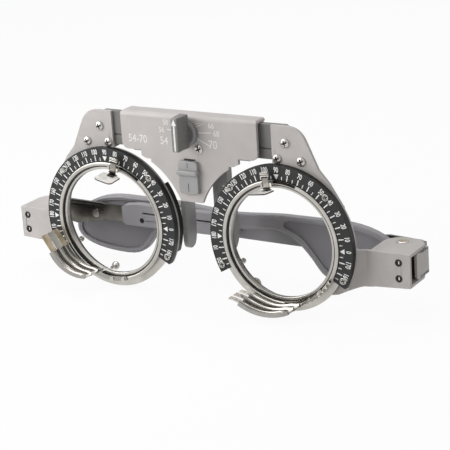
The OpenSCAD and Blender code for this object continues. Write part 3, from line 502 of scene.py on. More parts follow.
troughSetting = {
    "set": {-1: -4.0, 1: 8.0}, "from": {-1: 208.0, 1: 214.0}, "to": {-1: 274.0, 1: 280.0}, "skew": 3.0,
    "lift": {-1: 3.1, 1: 0.6}, "liftFrom": 0.15, "liftCurve": 1.6, "steps": 97, "fine": 26,
    "floor": 19.55, "back": 20.2, "start": 0.7, "end": 10.2, "middles": (2.05, 5.2, 8.4), "sag": 0.42,
    "sagHalf": 1.45, "depths": (3.55, 6.8, 10.02), "lipHigh": 1.15, "lipHalf": 0.48, "lipBack": 0.18,
    "lipFade": 0.16, "lipLeast": 0.25, "tips": {-1: 17.0, 1: 11.0}, "tipGap": {-1: 0.16, 1: 0.5},
    "tipOut": 0.15, "tipFlare": 1.5, "tipCurve": 1.6, "tipThick": 0.35, "tipCorner": 0.16, "tipCrown": 0.3,
    "crownRate": 1.3, "tipLap": 0.6, "tipSteps": 17,
    "tab": (18.4, -0.8, 19.75, -0.4), "tabFrom": 258.0, "tabSweep": 44.0, "tabSteps": 30,
    # the left inner slot's dark nickel is painted shade; the right one is bright steel
    "slotFinishAndShade": {-1: darkNickelAndSlotShade, 1: springSteel}, "tipFinish": {-1: wornBrass, 1: polishedSteel}}


def humps(depth, places, half):
    # a parabola of height one over each place, nought past its half width
    return sum(np.clip(1 - ((depth - d) / half) ** 2, 0, None) for d in places)


def troughBand(side, low, high, begin):
    # sheet between two depths: inner radius = floor, sagging in each slot, less a lip at each slot wall;
    # carried along an arc that ends earlier the further forward it is and rises towards its end
    g = troughSetting
    along = np.linspace(0.0, 1.0, g["steps"])[:, None]
    fade = np.clip((1 - along) / g["lipFade"], g["lipLeast"], 1.0) ** 0.5
    rise = np.clip((along - g["liftFrom"]) / (1 - g["liftFrom"]), 0, 1) ** g["liftCurve"]
    lift = g["lift"][side] * rise
    depth = np.linspace(low, high, round((high - low) * g["fine"]))
    lip = humps(depth, g["depths"], g["lipHalf"])[None]
    sag = g["sag"] * humps(depth, g["middles"], g["sagHalf"])[None]
    inner = g["floor"] + sag - g["lipHigh"] * lip * fade - lift
    outer = np.full_like(inner, g["back"]) + g["lipBack"] * lip - lift
    loopDepth = thereAndBack(depth)[None]
    finish = g["to"][side] - g["skew"] * loopDepth / g["end"]
    angle = np.radians(begin + along * (finish - begin))
    return solidFromLoops(around(np.concatenate([inner, outer[:, ::-1]], 1), -loopDepth, angle))


def troughTip(side, low, high, begin):
    # free end of one slot: a crowned strip whose radius grows by a power of the way along
    g = troughSetting
    t = np.linspace(0.0, 1.0, g["tipSteps"])[:, None]
    loop = roundedLoop((high - low) / 2 - g["tipGap"][side], g["tipThick"] / 2, g["tipCorner"])
    across, through = loop[None, :, 0], loop[None, :, 1]
    r = (g["floor"] + g["tipOut"] + g["tipFlare"] * t ** g["tipCurve"] + through
         + g["tipCrown"] * np.cos(across * g["crownRate"]))
    angle = np.radians(begin + g["tipLap"] - g["tips"][side] * t)
    return solidFromLoops(around(r, -(low + high) / 2 - across, angle))


def lensTrough(side):
    # sprung sheet under the lenses: an inner slot, two outer ones with a foot tab, three tips at the near end
    g = troughSetting
    turn, begin, wall = cellTurn[side] + g["set"][side], g["from"][side] + g["tips"][side], g["depths"][0]
    slot, sheet = troughBand(side, g["start"], wall, begin), troughBand(side, wall, g["end"], begin)
    tab = lathe(oblong(*g["tab"]), g["tabSteps"], g["tabFrom"], g["tabSweep"])
    walls = (g["start"], *g["depths"])
    tips = [troughTip(side, low, high, begin) for low, high in zip(walls[:-1], walls[1:])]
    for what, part, finish, node in (
            ("sprung_trough", joinParts([sheet, tab, tips[1]]), springSteel, "lens_trough"),
            # on the left the inner slot is dark nickel: painted shade
            ("trough_inner_slot", slot, g["slotFinishAndShade"][side], None),
            ("trough_tips", joinParts([tips[0], tips[2]]), g["tipFinish"][side], None)):
        sidePiece(side, what, onEye(part, side, turn), finish, "cell", True, node)


leverSetting = {
    "steps": 65, "front": -2.35, "thick": 0.5, "corner": 0.35, "smooth": 7,
    "shapeAt": (17.2, 19.9, 20.4, 21.0, 21.9, 22.75, 23.0),
    "shape": (1.15, 1.15, 0.95, 0.95, 1.58, 1.58, 1.264),
    "ribFrom": 21.7, "ribDeep": 0.09, "ribPitch": 0.55, "bow": 0.35, "bowFrom": 20.5, "bowOver": 2.5,
    "barrel": [(-1.15, 0.62), (-1.05, 0.74), (1.05, 0.74), (1.15, 0.62)], "barrelY": -1.6, "barrelZ": 19.2,
    "barrelSteps": 24, "grooves": ((17.9, 18.3, 1.0), (21.3, 21.5, 0.95), (22.2, 22.36, 1.4)),
    "grooveOut": 0.42, "grooveIn": 0.2, "foot": (-0.5, 17.45, 1.7, 17.75), "footShadowFront": -4.6,
    "spring": [[19.2, -0.75], [19.9, -0.75], [19.95, -0.45], [19.2, -0.45]],
    "collarShadeFrom": 5.0, "collarShadeTo": 26.0, "collarShadeSteps": 24}


def thumbCatch():
    # a rounded bar section whose half width narrows to a neck and widens to a ribbed head, carried up the
    # radius and bowed forwards at the top, on a barrel across the pin
    v = leverSetting
    z = np.linspace(v["shapeAt"][0], v["shapeAt"][-1], v["steps"])
    half = np.pad(np.interp(z, v["shapeAt"], v["shape"]), v["smooth"] // 2, mode="edge")
    half = np.convolve(half, np.ones(v["smooth"]) / v["smooth"], "valid")
    wave = np.cos((z - v["ribFrom"]) * fullTurn / v["ribPitch"])
    rib = np.where(z > v["ribFrom"], v["ribDeep"] * wave, 0.0)
    bow = v["bow"] * np.clip((z - v["bowFrom"]) / v["bowOver"], 0, 1) ** 2
    unit = roundedLoop(1.0, 1.0, v["corner"])
    y = v["front"] + v["thick"] / 2 - bow[:, None] + unit[None, :, 1] * (v["thick"] / 2 + rib[:, None])
    tab = grid(unit[None, :, 0] * half[:, None], y, z[:, None])
    a, rows = circle(v["barrelSteps"]), np.array(v["barrel"])
    barrel = grid(rows[:, :1], v["barrelY"] + rows[:, 1:] * np.cos(a), v["barrelZ"] + rows[:, 1:] * np.sin(a))
    return joinParts([solidFromLoops(tab), solidFromLoops(barrel)])


tongueSetting = {
    "half": 3.1, "from": -2.2, "end": -8.9, "z": 17.5, "steps": 33, "endRound": 1.3, "endShare": 0.62,
    "rootAt": (0.0, 0.06, 0.2), "root": (0.4, 0.42, 1.0), "tip": {-1: -0.5, 1: 0.45}, "tipCurve": 1.3,
    "aside": {-1: 0.65, 1: 0.0}, "thick": 0.2, "rimRise": 0.198, "rimFrom": 0.8, "acrossSteps": 25,
    "wire": 0.17, "wireSteps": 8}


def catchTongue(side):
    # plate with a thicker rim, its half width closing in a quarter ellipse at the free end, bent lengthwise;
    # edge: a round wire carried along the plate's outline
    v = tongueSetting
    t = np.linspace(0.0, 1.0, v["steps"])
    y = v["from"] + (v["end"] - v["from"]) * t
    ease = np.clip((y - v["end"]) / v["endRound"], 0.0, 1.0)
    closing = v["endShare"] + (1 - v["endShare"]) * np.sqrt(1 - (1 - ease) ** 2)
    width = v["half"] * closing * np.interp(t, v["rootAt"], v["root"])
    height = v["z"] + v["tip"][side] * t ** v["tipCurve"]
    u = np.linspace(-1.0, 1.0, v["acrossSteps"])
    edge = np.clip((np.abs(u) - v["rimFrom"]) / (1 - v["rimFrom"]), 0, 1) ** 2
    thick = v["thick"] + v["rimRise"] * np.sqrt(np.clip(edge * (2 - edge), 0, 1))
    loopZ = np.concatenate([thick / 2, -thick[::-1] / 2])
    plate = grid(thereAndBack(u)[None] * width[:, None], y[:, None], loopZ[None] + height[:, None])
    rim = np.concatenate([grid(width, y), grid(-width, y)[::-1]])
    step = np.roll(rim, -1, 0) - np.roll(rim, 1, 0)
    outward = grid(step[:, 1], -step[:, 0]) / np.maximum(np.hypot(*step.T), 1e-6)[:, None]
    outward *= np.sign((outward * (rim - rim.mean(0))).sum(1).mean())
    a = circle(v["wireSteps"])
    spread = rim[:, None] + outward[:, None] * v["wire"] * np.cos(a)[None, :, None]
    wireZ = thereAndBack(height)[:, None, None] + v["wire"] * np.sin(a)[None, :, None]
    wire = np.concatenate([spread, wireZ], 2)
    return (shifted(solidFromLoops(plate), x=v["aside"][side]),
            shifted(solidFromLoops(wire, True), x=v["aside"][side]))


def catchLever(side):
    # thumb tab with painted shade in its groove lines and a painted shadow of its foot, tongue with its edge,
    # all turned with the lens cell, and a dark strip on the collar that is painted shade
    v = leverSetting
    # dark blocks: painted shade in the catch's groove lines, and a painted shadow of its foot on the tongue
    grooves = dashBlocks([oblong(-w, low, w, high) for low, high, w in v["grooves"]],
                         v["front"] - v["grooveOut"], v["front"] + v["grooveIn"])
    foot = dashBlocks([oblong(*v["foot"])], v["footShadowFront"], v["front"])
    plate, wire = catchTongue(side)
    for what, part, finish, slot, smooth, node in (
            ("thumb_catch", thumbCatch(), leverSteel, "polished_steel", True, "catch_lever"),
            ("catch_grooves", joinParts([grooves, foot]), bluedSteelAndShade, "dark_nickel", False, None),
            ("catch_tongue", plate, paleNickelAndGlint, "polished_steel", True, None),
            ("catch_tongue_edge", wire, bluedSteelAndShade, "polished_steel", True, None)):
        sidePiece(side, what, onEye(part, side, cellTurn[side]), finish, "catch", smooth, node)
    # the dark strip on the collar beside the catch is painted shade
    spring = lathe(v["spring"], v["collarShadeSteps"], 90 + cellTurn[side] - v["collarShadeTo"],
                   v["collarShadeTo"] - v["collarShadeFrom"])
    sidePiece(side, "catch_spring", onEye(spring, side), bluedSteelAndShade, "cell", True)


screwSetting = {
    "rings": 18, "spokes": 72, "flat": 0.94, "edge": (0.985, 1.0, 1.0), "dome": 0.92, "domeRim": 0.3,
    "bowlFloor": 0.12, "bowlFrom": 0.55, "bowlRise": 0.2, "bowlTop": 0.82, "bowlHalf": 0.18, "slotTurn": 20.0,
    "slotWide": 0.3, "slotLong": 1.3, "slotSoft": 0.05, "slotShare": 0.75, "slotDeep": 0.6,
    "shoulderPlaces": [(2.4, 31.1), (-0.5, 26.0), (7.6, 25.8)],
    "scaleAt": 22.9, "scaleAngles": (45, 135, -24, 204), "bridgePlaces": [(-3.9, 26.9), (3.9, 26.9)],
    "shoulder": {"face": 2.1, "radius": 1.4, "high": 0.8, "dish": False, "recess": (1.66, 2.0)},
    "scale": {"face": 0.0, "radius": 1.1, "high": 0.35, "dish": True, "recess": (-0.07, 0.0)},
    "bridge": {"face": 1.0, "radius": 1.4, "high": 0.7, "dish": False, "recess": (0.62, 0.95)}}


def screwHead(x, z, kind):
    # height over the face = an elliptic dome or a rimmed dish, less a cross of two slots, on a polar grid
    k = screwSetting
    radius, high = kind["radius"], kind["high"]
    rho = np.concatenate([np.linspace(axisHole, k["flat"], k["rings"]), k["edge"]]) * radius
    rr, aa = np.meshgrid(rho, circle(k["spokes"]), indexing="ij")
    share, fromSlot = rr / radius, aa - math.radians(k["slotTurn"])
    if kind["dish"]:
        bank = np.sqrt(np.clip(1 - ((share - k["bowlTop"]) / k["bowlHalf"]) ** 2, 0, 1))
        bank = np.clip((share - k["bowlFrom"]) / k["bowlRise"], 0, 1) * bank
        top = high * (k["bowlFloor"] + (1 - k["bowlFloor"]) * bank)
    else:
        dome = np.sqrt(np.clip(1 - share ** 2 * k["dome"], 0, 1))
        top = high * (k["domeRim"] + (1 - k["domeRim"]) * dome)
    u, w = np.abs(rr * np.cos(fromSlot)), np.abs(rr * np.sin(fromSlot))
    halfWide, halfLong = k["slotWide"] * radius / 2, k["slotLong"] * radius / 2
    slot = np.maximum(np.clip((halfWide - u) / k["slotSoft"] + 0.5, 0, 1) * (w < halfLong),
                      np.clip((halfWide - w) / k["slotSoft"] + 0.5, 0, 1) * (u < halfLong))
    top = top - np.minimum(top * k["slotShare"], k["slotDeep"] * high) * slot
    top[-1] = 0.0
    return solidFromLoops(grid(x + rr * np.cos(aa), kind["face"] - top, z + rr * np.sin(aa)))


def crossBlocks(places, kind):
    # two crossed bars at each (x, z): the shadow in the bottom of a cross recess
    k = screwSetting
    a = math.radians(k["slotTurn"]) + np.array([0.0, quarterTurn])
    along = grid(np.cos(a), np.sin(a)) * k["slotLong"] * kind["radius"] / 2
    aside = grid(-np.sin(a), np.cos(a)) * k["slotWide"] * kind["radius"] / 2
    bars = np.stack([-along - aside, along - aside, along + aside, -along + aside], 1)
    return dashBlocks((np.array(places)[:, None, None] + bars[None]).reshape(-1, 4, 2), *kind["recess"])


def screwRow(owner, kindName, places, body):
    # the heads of one kind as one piece in place of the plain ones; hands back the shadows of their recesses
    kind = screwSetting[kindName]
    heads = joinParts([screwHead(x, z, kind) for x, z in places])
    makePiece(owner + "_screw_heads", heads, polishedSteel, body, True, owner + "_screws")
    return crossBlocks(places, kind)


def screwSets():
    # three shoulder screws and four scale screws to a side, two in the bridge
    k = screwSetting
    a = np.radians(k["scaleAngles"])
    for side, name in sideName.items():
        body, x = name + "_carriage", eyeCentre(side)[0]
        platePlaces = [(side * u + x, z) for u, z in k["shoulderPlaces"]]
        deep = screwRow(name + "_shoulder", "shoulder", platePlaces, body)
        ringPlaces = grid(k["scaleAt"] * np.cos(a) + x, k["scaleAt"] * np.sin(a))
        shallow = screwRow(name + "_scale", "scale", ringPlaces, body)
        makePiece(name + "_screw_recesses", joinParts([deep, shallow]), blackScaleAndShade, body)
    recesses = screwRow("bridge", "bridge", k["bridgePlaces"], "bridge")
    makePiece("bridge_screw_recesses", recesses, blackScaleAndShade, "bridge")


buttonSetting = {
    "half": 3.4, "low": 12.5, "high": 23.0, "front": -0.3, "back": 0.95, "corner": 0.8, "frontRound": 0.3,
    "endSteps": 6, "ledgeHalf": 3.9, "ledgeZ": 19.4, "ledgeThick": 0.85, "ledgeFront": -1.4, "ledgeEnd": 0.7,
    "ledgeCorner": 0.6, "ledgeLeast": 0.4, "closeLeast": 0.05, "lineHalf": 0.1, "lineOut": 0.02,
    "lineIn": 0.1, "lines": ((13.3, 16.0), (20.9, 22.6)), "gap": (-1.8, 23.08, 2.3, 23.5),
    "gapDepth": (0.97, 1.05)}


def noseButton():
    # body: an upright section with rounded front edges carried across, its ends drawn in by a quarter circle;
    # ledge: a rounded bar carried across, its section closing in a quarter ellipse at both ends
    b = buttonSetting
    t = np.linspace(0.0, quarterTurn, b["endSteps"])
    start, curve = 1 - np.cos(t), b["frontRound"]

    def acrossTo(half, reach):
        # places across, close together where the ends are drawn in
        return np.concatenate([-half + reach * start, half - reach * start[::-1]])[:, None]

    section = roundedLoop((b["back"] - b["front"]) / 2, 1.0, curve)[None]
    tall = (b["high"] - b["low"]) / 2 - thereAndBack(b["corner"] * (1 - np.sin(t)))[:, None]
    upright = np.abs(section[..., 1])
    edge = np.sign(section[..., 1]) * (tall - curve * (1 - np.clip((upright - (1 - curve)) / curve, 0, 1)))
    body = grid(acrossTo(b["half"], b["corner"]), (b["front"] + b["back"]) / 2 + section[..., 0],
                (b["low"] + b["high"]) / 2 + edge)
    close = thereAndBack(np.sin(t)).clip(b["closeLeast"], 1.0)[:, None]
    deepen = b["ledgeLeast"] + (1 - b["ledgeLeast"]) * close
    bar = roundedLoop((b["back"] - b["ledgeFront"]) / 2, b["ledgeThick"], b["ledgeCorner"])[None]
    ledge = grid(acrossTo(b["ledgeHalf"], b["ledgeEnd"]),
                 (b["back"] + b["ledgeFront"]) / 2 + bar[..., 0] * deepen, b["ledgeZ"] + bar[..., 1] * close)
    makePiece("nose_slide_button", joinParts([solidFromLoops(body), solidFromLoops(ledge)]), darkGreyPlastic,
              "nose_piece", True, "nose_button")
    w = b["lineHalf"]
    lines = dashBlocks([oblong(-w, low, w, high) for low, high in b["lines"]],
                       b["front"] - b["lineOut"], b["front"] + b["lineIn"])
    makePiece("nose_index_lines", lines, blackScaleAndShade, "nose_piece")
    gap = dashBlocks([oblong(*b["gap"])], *b["gapDepth"])
    makePiece("nose_slot_shadow", gap, blackScaleAndShade, "bridge")


hingeSetting = {
    "radius": 1.9, "headLow": -0.3, "headHigh": 0.1, "headSkirt": -0.02, "spokes": 64,
    "rings": 16, "edgeFrom": 0.8, "edge": (0.88, 0.95, 0.99, 1.0, 1.0), "slotHalf": 0.3, "slotSoft": 0.06,
    "slotReach": 0.78, "slotDeep": 0.8, "mirror": -11.1, "stem": 1.1, "stemZ": (-10.7, -0.35),
    "spacer": ((-3.2, -3.2), (-3.2, 2.1), (6.5, 2.1), (6.5, -5.3)), "spacerZ": (-8.7, -2.45),
    "dish": 1.2, "dishZ": (-0.1, 0.11), "stopX": 68.0, "stopZ": (-3.05, -8.0), "barHalf": 0.16,
    "barTall": 0.45, "barDepth": (4.7, 4.85), "well": (0.7, 4.56, 1.15, 4.62), "holeShadeSteps": 40}


def hingePin(x):
    # two heads on a stem: each a low disc with a rounded rim and a screwdriver slot, the lower one mirrored
    h = hingeSetting
    rho = np.concatenate([np.linspace(axisHole, h["edgeFrom"], h["rings"]), h["edge"]]) * h["radius"]
    rr, aa = np.meshgrid(rho, circle(h["spokes"]), indexing="ij")
    overEdge = np.clip(rr / h["radius"] - h["edgeFrom"], 0, 1) / (1 - h["edgeFrom"])
    rise = (h["headHigh"] - h["headLow"]) * np.sqrt(np.clip(1 - overEdge ** 2, 0, 1))
    inSlot = np.clip((h["slotHalf"] - np.abs(rr * np.sin(aa))) / h["slotSoft"] + 0.5, 0, 1)
    rise = rise * (1 - h["slotDeep"] * inSlot * (rr < h["slotReach"] * h["radius"]))
    rise[-1] = h["headSkirt"]
    top = solidFromLoops(grid(x + rr * np.cos(aa), stand["pinY"] + rr * np.sin(aa), h["headLow"] + rise))
    low = (top[0] * np.array([1, 1, -1]) + np.array([0, 0, h["mirror"]]), [f[::-1] for f in top[1]])
    stem = layers(discPlan(x, stand["pinY"], h["stem"], h["spokes"]), h["stemZ"], 2)
    return joinParts([top, low, solidFromLoops(stem)])


def hingeFittings(side):
    # the pin, a black block between the cheeks, a worn dish in the pin's head, and at the two set screws a
    # pale bar of painted glint, each in a black ring of painted shade
    h = hingeSetting
    x = stand["pinX"] * side
    sidePiece(side, "hinge_rivet", hingePin(x), satinNickel, "carriage", True, "hinge_pin")
    plan = np.array(h["spacer"]) * np.array([side, 1]) + np.array([x, stand["pinY"]])
    spacer = solidFromLoops(layers(plan, h["spacerZ"], 2))
    sidePiece(side, "hinge_spacer", spacer, blackScaleAndShade, "temple")
    dish = solidFromLoops(layers(discPlan(x, stand["pinY"], h["dish"], h["spokes"]), h["dishZ"], 2))
    sidePiece(side, "hinge_rivet_dish", dish, wornBrass, "carriage")
    # pale bars standing in the dark screw holes: painted glints
    stopX, w, tall = h["stopX"] * side, h["barHalf"], h["barTall"]
    bars = dashBlocks([oblong(stopX - w, z - tall, stopX + w, z + tall) for z in h["stopZ"]], *h["barDepth"])
    sidePiece(side, "stop_screw_slots", bars, paleNickelAndGlint, "carriage")
    # black rings round the holes: painted shade
    ring = lathe(oblong(*h["well"]), h["holeShadeSteps"])
    holeShades = joinParts([shifted(ring, x=stopX, z=z) for z in h["stopZ"]])
    sidePiece(side, "stop_screw_wells", holeShades, blackScaleAndShade, "carriage")


ribbonSetting = {
    "from": 290.0, "to": 334.0, "radius": 19.5, "wave": 0.42, "waves": 8, "thick": 0.07, "front": -1.9,
    "back": -0.45, "steps": 161}


def springRibbon():
    # wavy strip on the right cell: radius = a mean plus a sine of the angle, as a thin upright band
    k = ribbonSetting
    s = np.linspace(0.0, 1.0, k["steps"])[:, None]
    r = k["radius"] + k["wave"] * np.sin(fullTurn * k["waves"] * s)
    section = np.array(oblong(-k["thick"], k["back"], k["thick"], k["front"]))[None]
    loops = around(r + section[..., 0], section[..., 1], np.radians(k["from"] + s * (k["to"] - k["from"])))
    makePiece("right_trough_ribbon", onEye(solidFromLoops(loops), 1), polishedSteel, "right_cell",
              True)


rearSetting = {
    "ballAngle": {-1: 255.5, 1: 306.0}, "ballAt": 18.5, "ballSteps": 32,
    "ball": [[0.02, 4.9], [0.55, 4.9], [0.55, 6.4], [0.9, 6.5], [1.25, 6.8], [1.4, 7.3], [1.25, 7.8],
             [0.9, 8.2], [0.02, 8.35]],
    "stripFrom": (-39.4, -1.0, -18.5), "stripTo": (-32.8, -0.8, -15.9), "strip": (0.55, 0.16, 0.12),
    "stripSteps": 9, "tabAngle": 233.5, "tabAt": 20.6, "tabHalf": 1.9, "tabHigh": 2.3, "tabFoot": -0.4,
    "tabDepth": (5.0, 5.5), "tabSteps": 17}


def rearStud(side):
    # ball-headed stud behind a ring: circles of (radius, depth) along its axis, set at an angle on the ring
    k = rearSetting
    ball, t = np.array(k["ball"]), math.radians(k["ballAngle"][side])
    stud = solidFromLoops(around(ball[:, :1], ball[:, 1:], circle(k["ballSteps"])[None]))
    stud = shifted(stud, x=k["ballAt"] * math.cos(t), z=k["ballAt"] * math.sin(t))
    sidePiece(side, "rear_ball_stud", onEye(stud, side), polishedSteel, "carriage", True)


def ballStrip():
    # flat strip from the left trough's end up to the stud: a rounded section carried along a straight line
    k = rearSetting
    start, end = np.array(k["stripFrom"]), np.array(k["stripTo"])
    t = np.linspace(0.0, 1.0, k["stripSteps"])[:, None, None]
    loops = start + (end - start) * t + layers(roundedLoop(*k["strip"]), [0.0], 0)
    makePiece("left_trough_strip", solidFromLoops(loops), paleNickelAndGlint, "left_cell", True)


def rearTab():
    # round-ended stop plate behind the right ring: an upright outline closed by a half ellipse, in two layers
    k = rearSetting
    a, t = np.linspace(0.0, halfTurn, k["tabSteps"]), math.radians(k["tabAngle"])
    half, foot = k["tabHalf"], k["tabFoot"]
    arch = grid(half * np.cos(a), k["tabHigh"] * np.sin(a))
    outline = np.concatenate([arch, [[-half, foot], [half, foot]]])
    outline = outline + k["tabAt"] * np.array([math.cos(t), math.sin(t)])
    plate = solidFromLoops(layers(outline, k["tabDepth"], 1))
    makePiece("right_rear_stop_tab", onEye(plate, 1), paleNickelAndGlint, "right_carriage")


templeSetting = {
    "pinMid": -5.55, "skew": 1.6, "tilt": {-1: 0.5, 1: -0.5}, "slid": {-1: 2.4, 1: 0.0}}


def templeSolid(side, loops):
    # loops of (along, out, up) on a temple, tilted about the pin's middle, then turned by the fold's skew,
    # set on the pin and skinned
    f = templeSetting
    a, t = math.radians(f["skew"]), math.radians(f["tilt"][side])
    u, v, z = np.moveaxis(np.asarray(loops, float), -1, 0)
    rise = z - f["pinMid"]
    run = u * math.cos(t) - rise * math.sin(t)
    high = f["pinMid"] + u * math.sin(t) + rise * math.cos(t)
    return solidFromLoops(grid(side * (stand["pinX"] - run * math.cos(a)) + v * math.sin(a),
                               stand["pinY"] + side * run * math.sin(a) + v * math.cos(a), high))


leafSetting = {
    "depth": (8.9, 9.9), "top": {-1: [(-3.2, -2.9), (0.3, -2.9), (13.4, -3.1)],
                                 1: [(-3.2, -2.9), (0.3, -2.5), (8.9, -2.1), (14.0, -2.8)]},
    "strip": [(14.4, -3.4), (54.0, -3.4), (54.0, -8.7), (14.4, -8.7), (2.0, -11.3), (-3.2, -10.3)],
    "wedge": [(0.0, 7.6), (13.4, 8.9), (13.4, 9.0), (0.0, 9.0)], "wedgeZ": (-4.4, -3.8)}


def templeLeaf(side):
    # leaf spring: a flat outline, deep at the hinge and tapering to the strip, in two layers, and a wedge
    k = leafSetting
    blade = templeSolid(side, layers(k["top"][side] + k["strip"], k["depth"], 1))
    leaf = joinParts([blade, templeSolid(side, layers(k["wedge"], k["wedgeZ"], 2))])
    sidePiece(side, "leaf_spring", leaf, darkNickelAndSlotShade, "temple", False, "temple_leaf")


rootSetting = {
    "round": 3.6, "roundSteps": 25, "tail": [[0.0, 2.3], [-7.4, 2.3], [-7.4, -3.6]],
    "upper": (-2.25, -1.45), "lower": (-9.65, -8.85), "plate": (4.0, 4.1, 0.9), "plateAt": (-1.7, -5.55),
    "plateOut": (-7.4, -6.6), "crank": (-3.2, -1.3),
    "strap": [(1.0, -1.45), (7.0, -1.45), (8.9, -2.9), (8.9, -8.6), (8.1, -8.6), (8.1, -3.3), (6.7, -2.25),
              (1.0, -2.25)]}


def templeRoot(side):
    # hinge root: two cheek plates round the pin, each a square tail run into a half round, an end plate
    # between them and a cranked strap that reaches back and down to the leaf spring
    k = rootSetting
    a = np.linspace(-quarterTurn, quarterTurn, k["roundSteps"])
    cheek = np.concatenate([k["round"] * grid(np.cos(a), np.sin(a)), k["tail"]])
    plate = roundedLoop(*k["plate"]) + np.array(k["plateAt"])
    parts = [layers(cheek, k["upper"], 2), layers(cheek, k["lower"], 2), layers(plate, k["plateOut"], 0),
             layers(k["strap"], k["crank"], 0)]
    root = joinParts([templeSolid(side, loops) for loops in parts])
    sidePiece(side, "hinge_root", root, warmGreyPaint, "temple", True, "temple_root")


def bendPoints(a, b, c, d, steps):
    # cubic curve from a to d pulled towards b and c, without its last point
    t = np.linspace(0, 1, steps, endpoint=False)[:, None]
    a, b, c, d = (np.array(v, float) for v in (a, b, c, d))
    return (1 - t) ** 3 * a + 3 * (1 - t) ** 2 * t * b + 3 * (1 - t) * t ** 2 * c + t ** 3 * d


fieldSetting = {
    "depth": (8.88, 8.98), "curves": [
        ((108, -1.25), (117, -1.25), (127.5, -4.5), (127.5, -12.4), 14),
        ((127.5, -12.4), (127.5, -16.3), (119.4, -17.95), (109, -17.95), 14),
        ((109, -17.95), (102.6, -17.95), (101.15, -14.6), (98.75, -11.8), 12),
        ((98.75, -11.8), (96.35, -8.7), (93.7, -5.25), (89.85, -4.25), 12),
        ((89.85, -4.25), (86.6, -3.7), (86.6, -1.4), (89.85, -1.25), 10)]}


def paddleField(side):
    # textured panel in the paddle's sunken field, its darker grey painted shade: curves along the temple
    # and up, in two layers
    outline = np.concatenate([bendPoints(*curve) for curve in fieldSetting["curves"]])
    outline[:, 0] -= templeSetting["slid"][side]
    panel = templeSolid(side, layers(outline, fieldSetting["depth"], 1))
    sidePiece(side, "paddle_field", panel, recessShadePlastic, "ear_arm")


beadSetting = {
    "radius": 0.78, "centre": 8.72, "steps": 16, "curves": [
        ((70, -0.7), (80, 0.1), (86, 0.6), (92, 0.6), 12),
        ((92, 0.6), (98, 0.6), (103, 0.6), (108, 0.6), 6),
        ((108, 0.6), (118, 0.6), (129.4, -3.5), (129.4, -12.4), 20),
        ((129.4, -12.4), (129.4, -17.6), (120, -19.7), (109, -19.7), 20),
        ((109, -19.7), (100.5, -19.7), (99.5, -15.5), (97, -12.6), 16),
        ((97, -12.6), (93.5, -8.6), (90, -4.6), (83, -4.6), 16),
        ((83, -4.6), (79, -5.0), (75, -5.4), (70, -5.7), 8)]}


def paddleBead(side):
    # rolled rim of the paddle: a round section carried along the paddle's edge, its radius inside the edge
    k = beadSetting
    edge = np.concatenate([bendPoints(*curve) for curve in k["curves"]])
    run = np.gradient(edge, axis=0)
    inward = grid(run[:, 1], -run[:, 0]) / np.hypot(run[:, 0], run[:, 1])[:, None]
    a = circle(k["steps"])
    place = edge[:, None] + inward[:, None] * (k["radius"] * (1 + np.cos(a)))[None, :, None]
    loops = grid(place[..., 0] - templeSetting["slid"][side],
                 k["centre"] + k["radius"] * np.sin(a)[None], place[..., 1])
    sidePiece(side, "paddle_rim", templeSolid(side, loops), greyPlastic, "ear_arm", True)


for side in sideName:
    paddleField(side)
    paddleBead(side)
    templeLeaf(side)
    templeRoot(side)
    turningRing(side)
    lensTrough(side)
    catchLever(side)
    hingeFittings(side)
    rearStud(side)
noseButton()
screwSets()
rearTab()
ballStrip()
springRibbon()
print("rings, troughs, catches and screws made")

softSetting = {"weld": 1e-6, "angle": 40.0}
softEdges = [
    (("bridge_cover", "left_frame_plate", "right_frame_plate"), 0.32, 3),
    (("nose_pads", "left_temple_arm", "right_temple_arm"), 0.35, 3),
    (("left_scale_ring", "right_scale_ring", "left_rear_cell", "right_rear_cell"), 0.12, 2)]
for names, width, steps in softEdges:
    for name in names:
        weld = nodes[name].modifiers.new("weld", "WELD")
        weld.merge_threshold = softSetting["weld"]
        soften = nodes[name].modifiers.new("soften", "BEVEL")
        soften.width, soften.segments, soften.limit_method = width * mm, steps, "ANGLE"
        soften.angle_limit = math.radians(softSetting["angle"])
        soften.harden_normals = True
print("edges softened")


def seenRays(tree):
    # two outputs: one for rays from the camera, and one for those or rays off a mirror or through glass
    path = add(tree, "ShaderNodeLightPath").outputs
    direct = add(tree, "ShaderNodeMath", {"operation": "MAXIMUM"},
                 {0: path["Is Camera Ray"], 1: path["Is Glossy Ray"]})
    seen = add(tree, "ShaderNodeMath", {"operation": "MAXIMUM"},
               {0: direct.outputs["Value"], 1: path["Is Transmission Ray"]})
    return path["Is Camera Ray"], seen.outputs["Value"]


floorSetting = {"half": 3.0, "drop": 0.0004, "paper": "#DCDCDB", "white": "#FFFFFF", "glow": 0.94}


def layFloor():
    # one wide plane just under the lowest edge; camera and mirrors see it white, with part of its shadow kept
    f = floorSetting
    h, z = f["half"], -f["drop"]
    mesh = bpy.data.meshes.new("studio_floor")
    mesh.from_pydata([(-h, -h, z), (h, -h, z), (h, h, z), (-h, h, z)], [], [(0, 1, 2, 3)])
    material, tree = newMaterial("white_paper_sweep")
    paper = add(tree, "ShaderNodeBsdfDiffuse", {"Color": fromHex(f["paper"])})
    white = add(tree, "ShaderNodeEmission", {"Color": fromHex(f["white"]), "Strength": 1.0})
    seen = seenRays(tree)[1]
    share = add(tree, "ShaderNodeMath", {"operation": "MULTIPLY", 1: f["glow"]}, {0: seen})
    both = add(tree, "ShaderNodeMixShader", None,
               {0: share.outputs["Value"], 1: paper.outputs["BSDF"], 2: white.outputs["Emission"]})
    add(tree, "ShaderNodeOutputMaterial", None, {"Surface": both.outputs["Shader"]})
    mesh.materials.append(material)
    floor = bpy.data.objects.new("studio_floor", mesh)
    bpy.context.scene.collection.objects.link(floor)


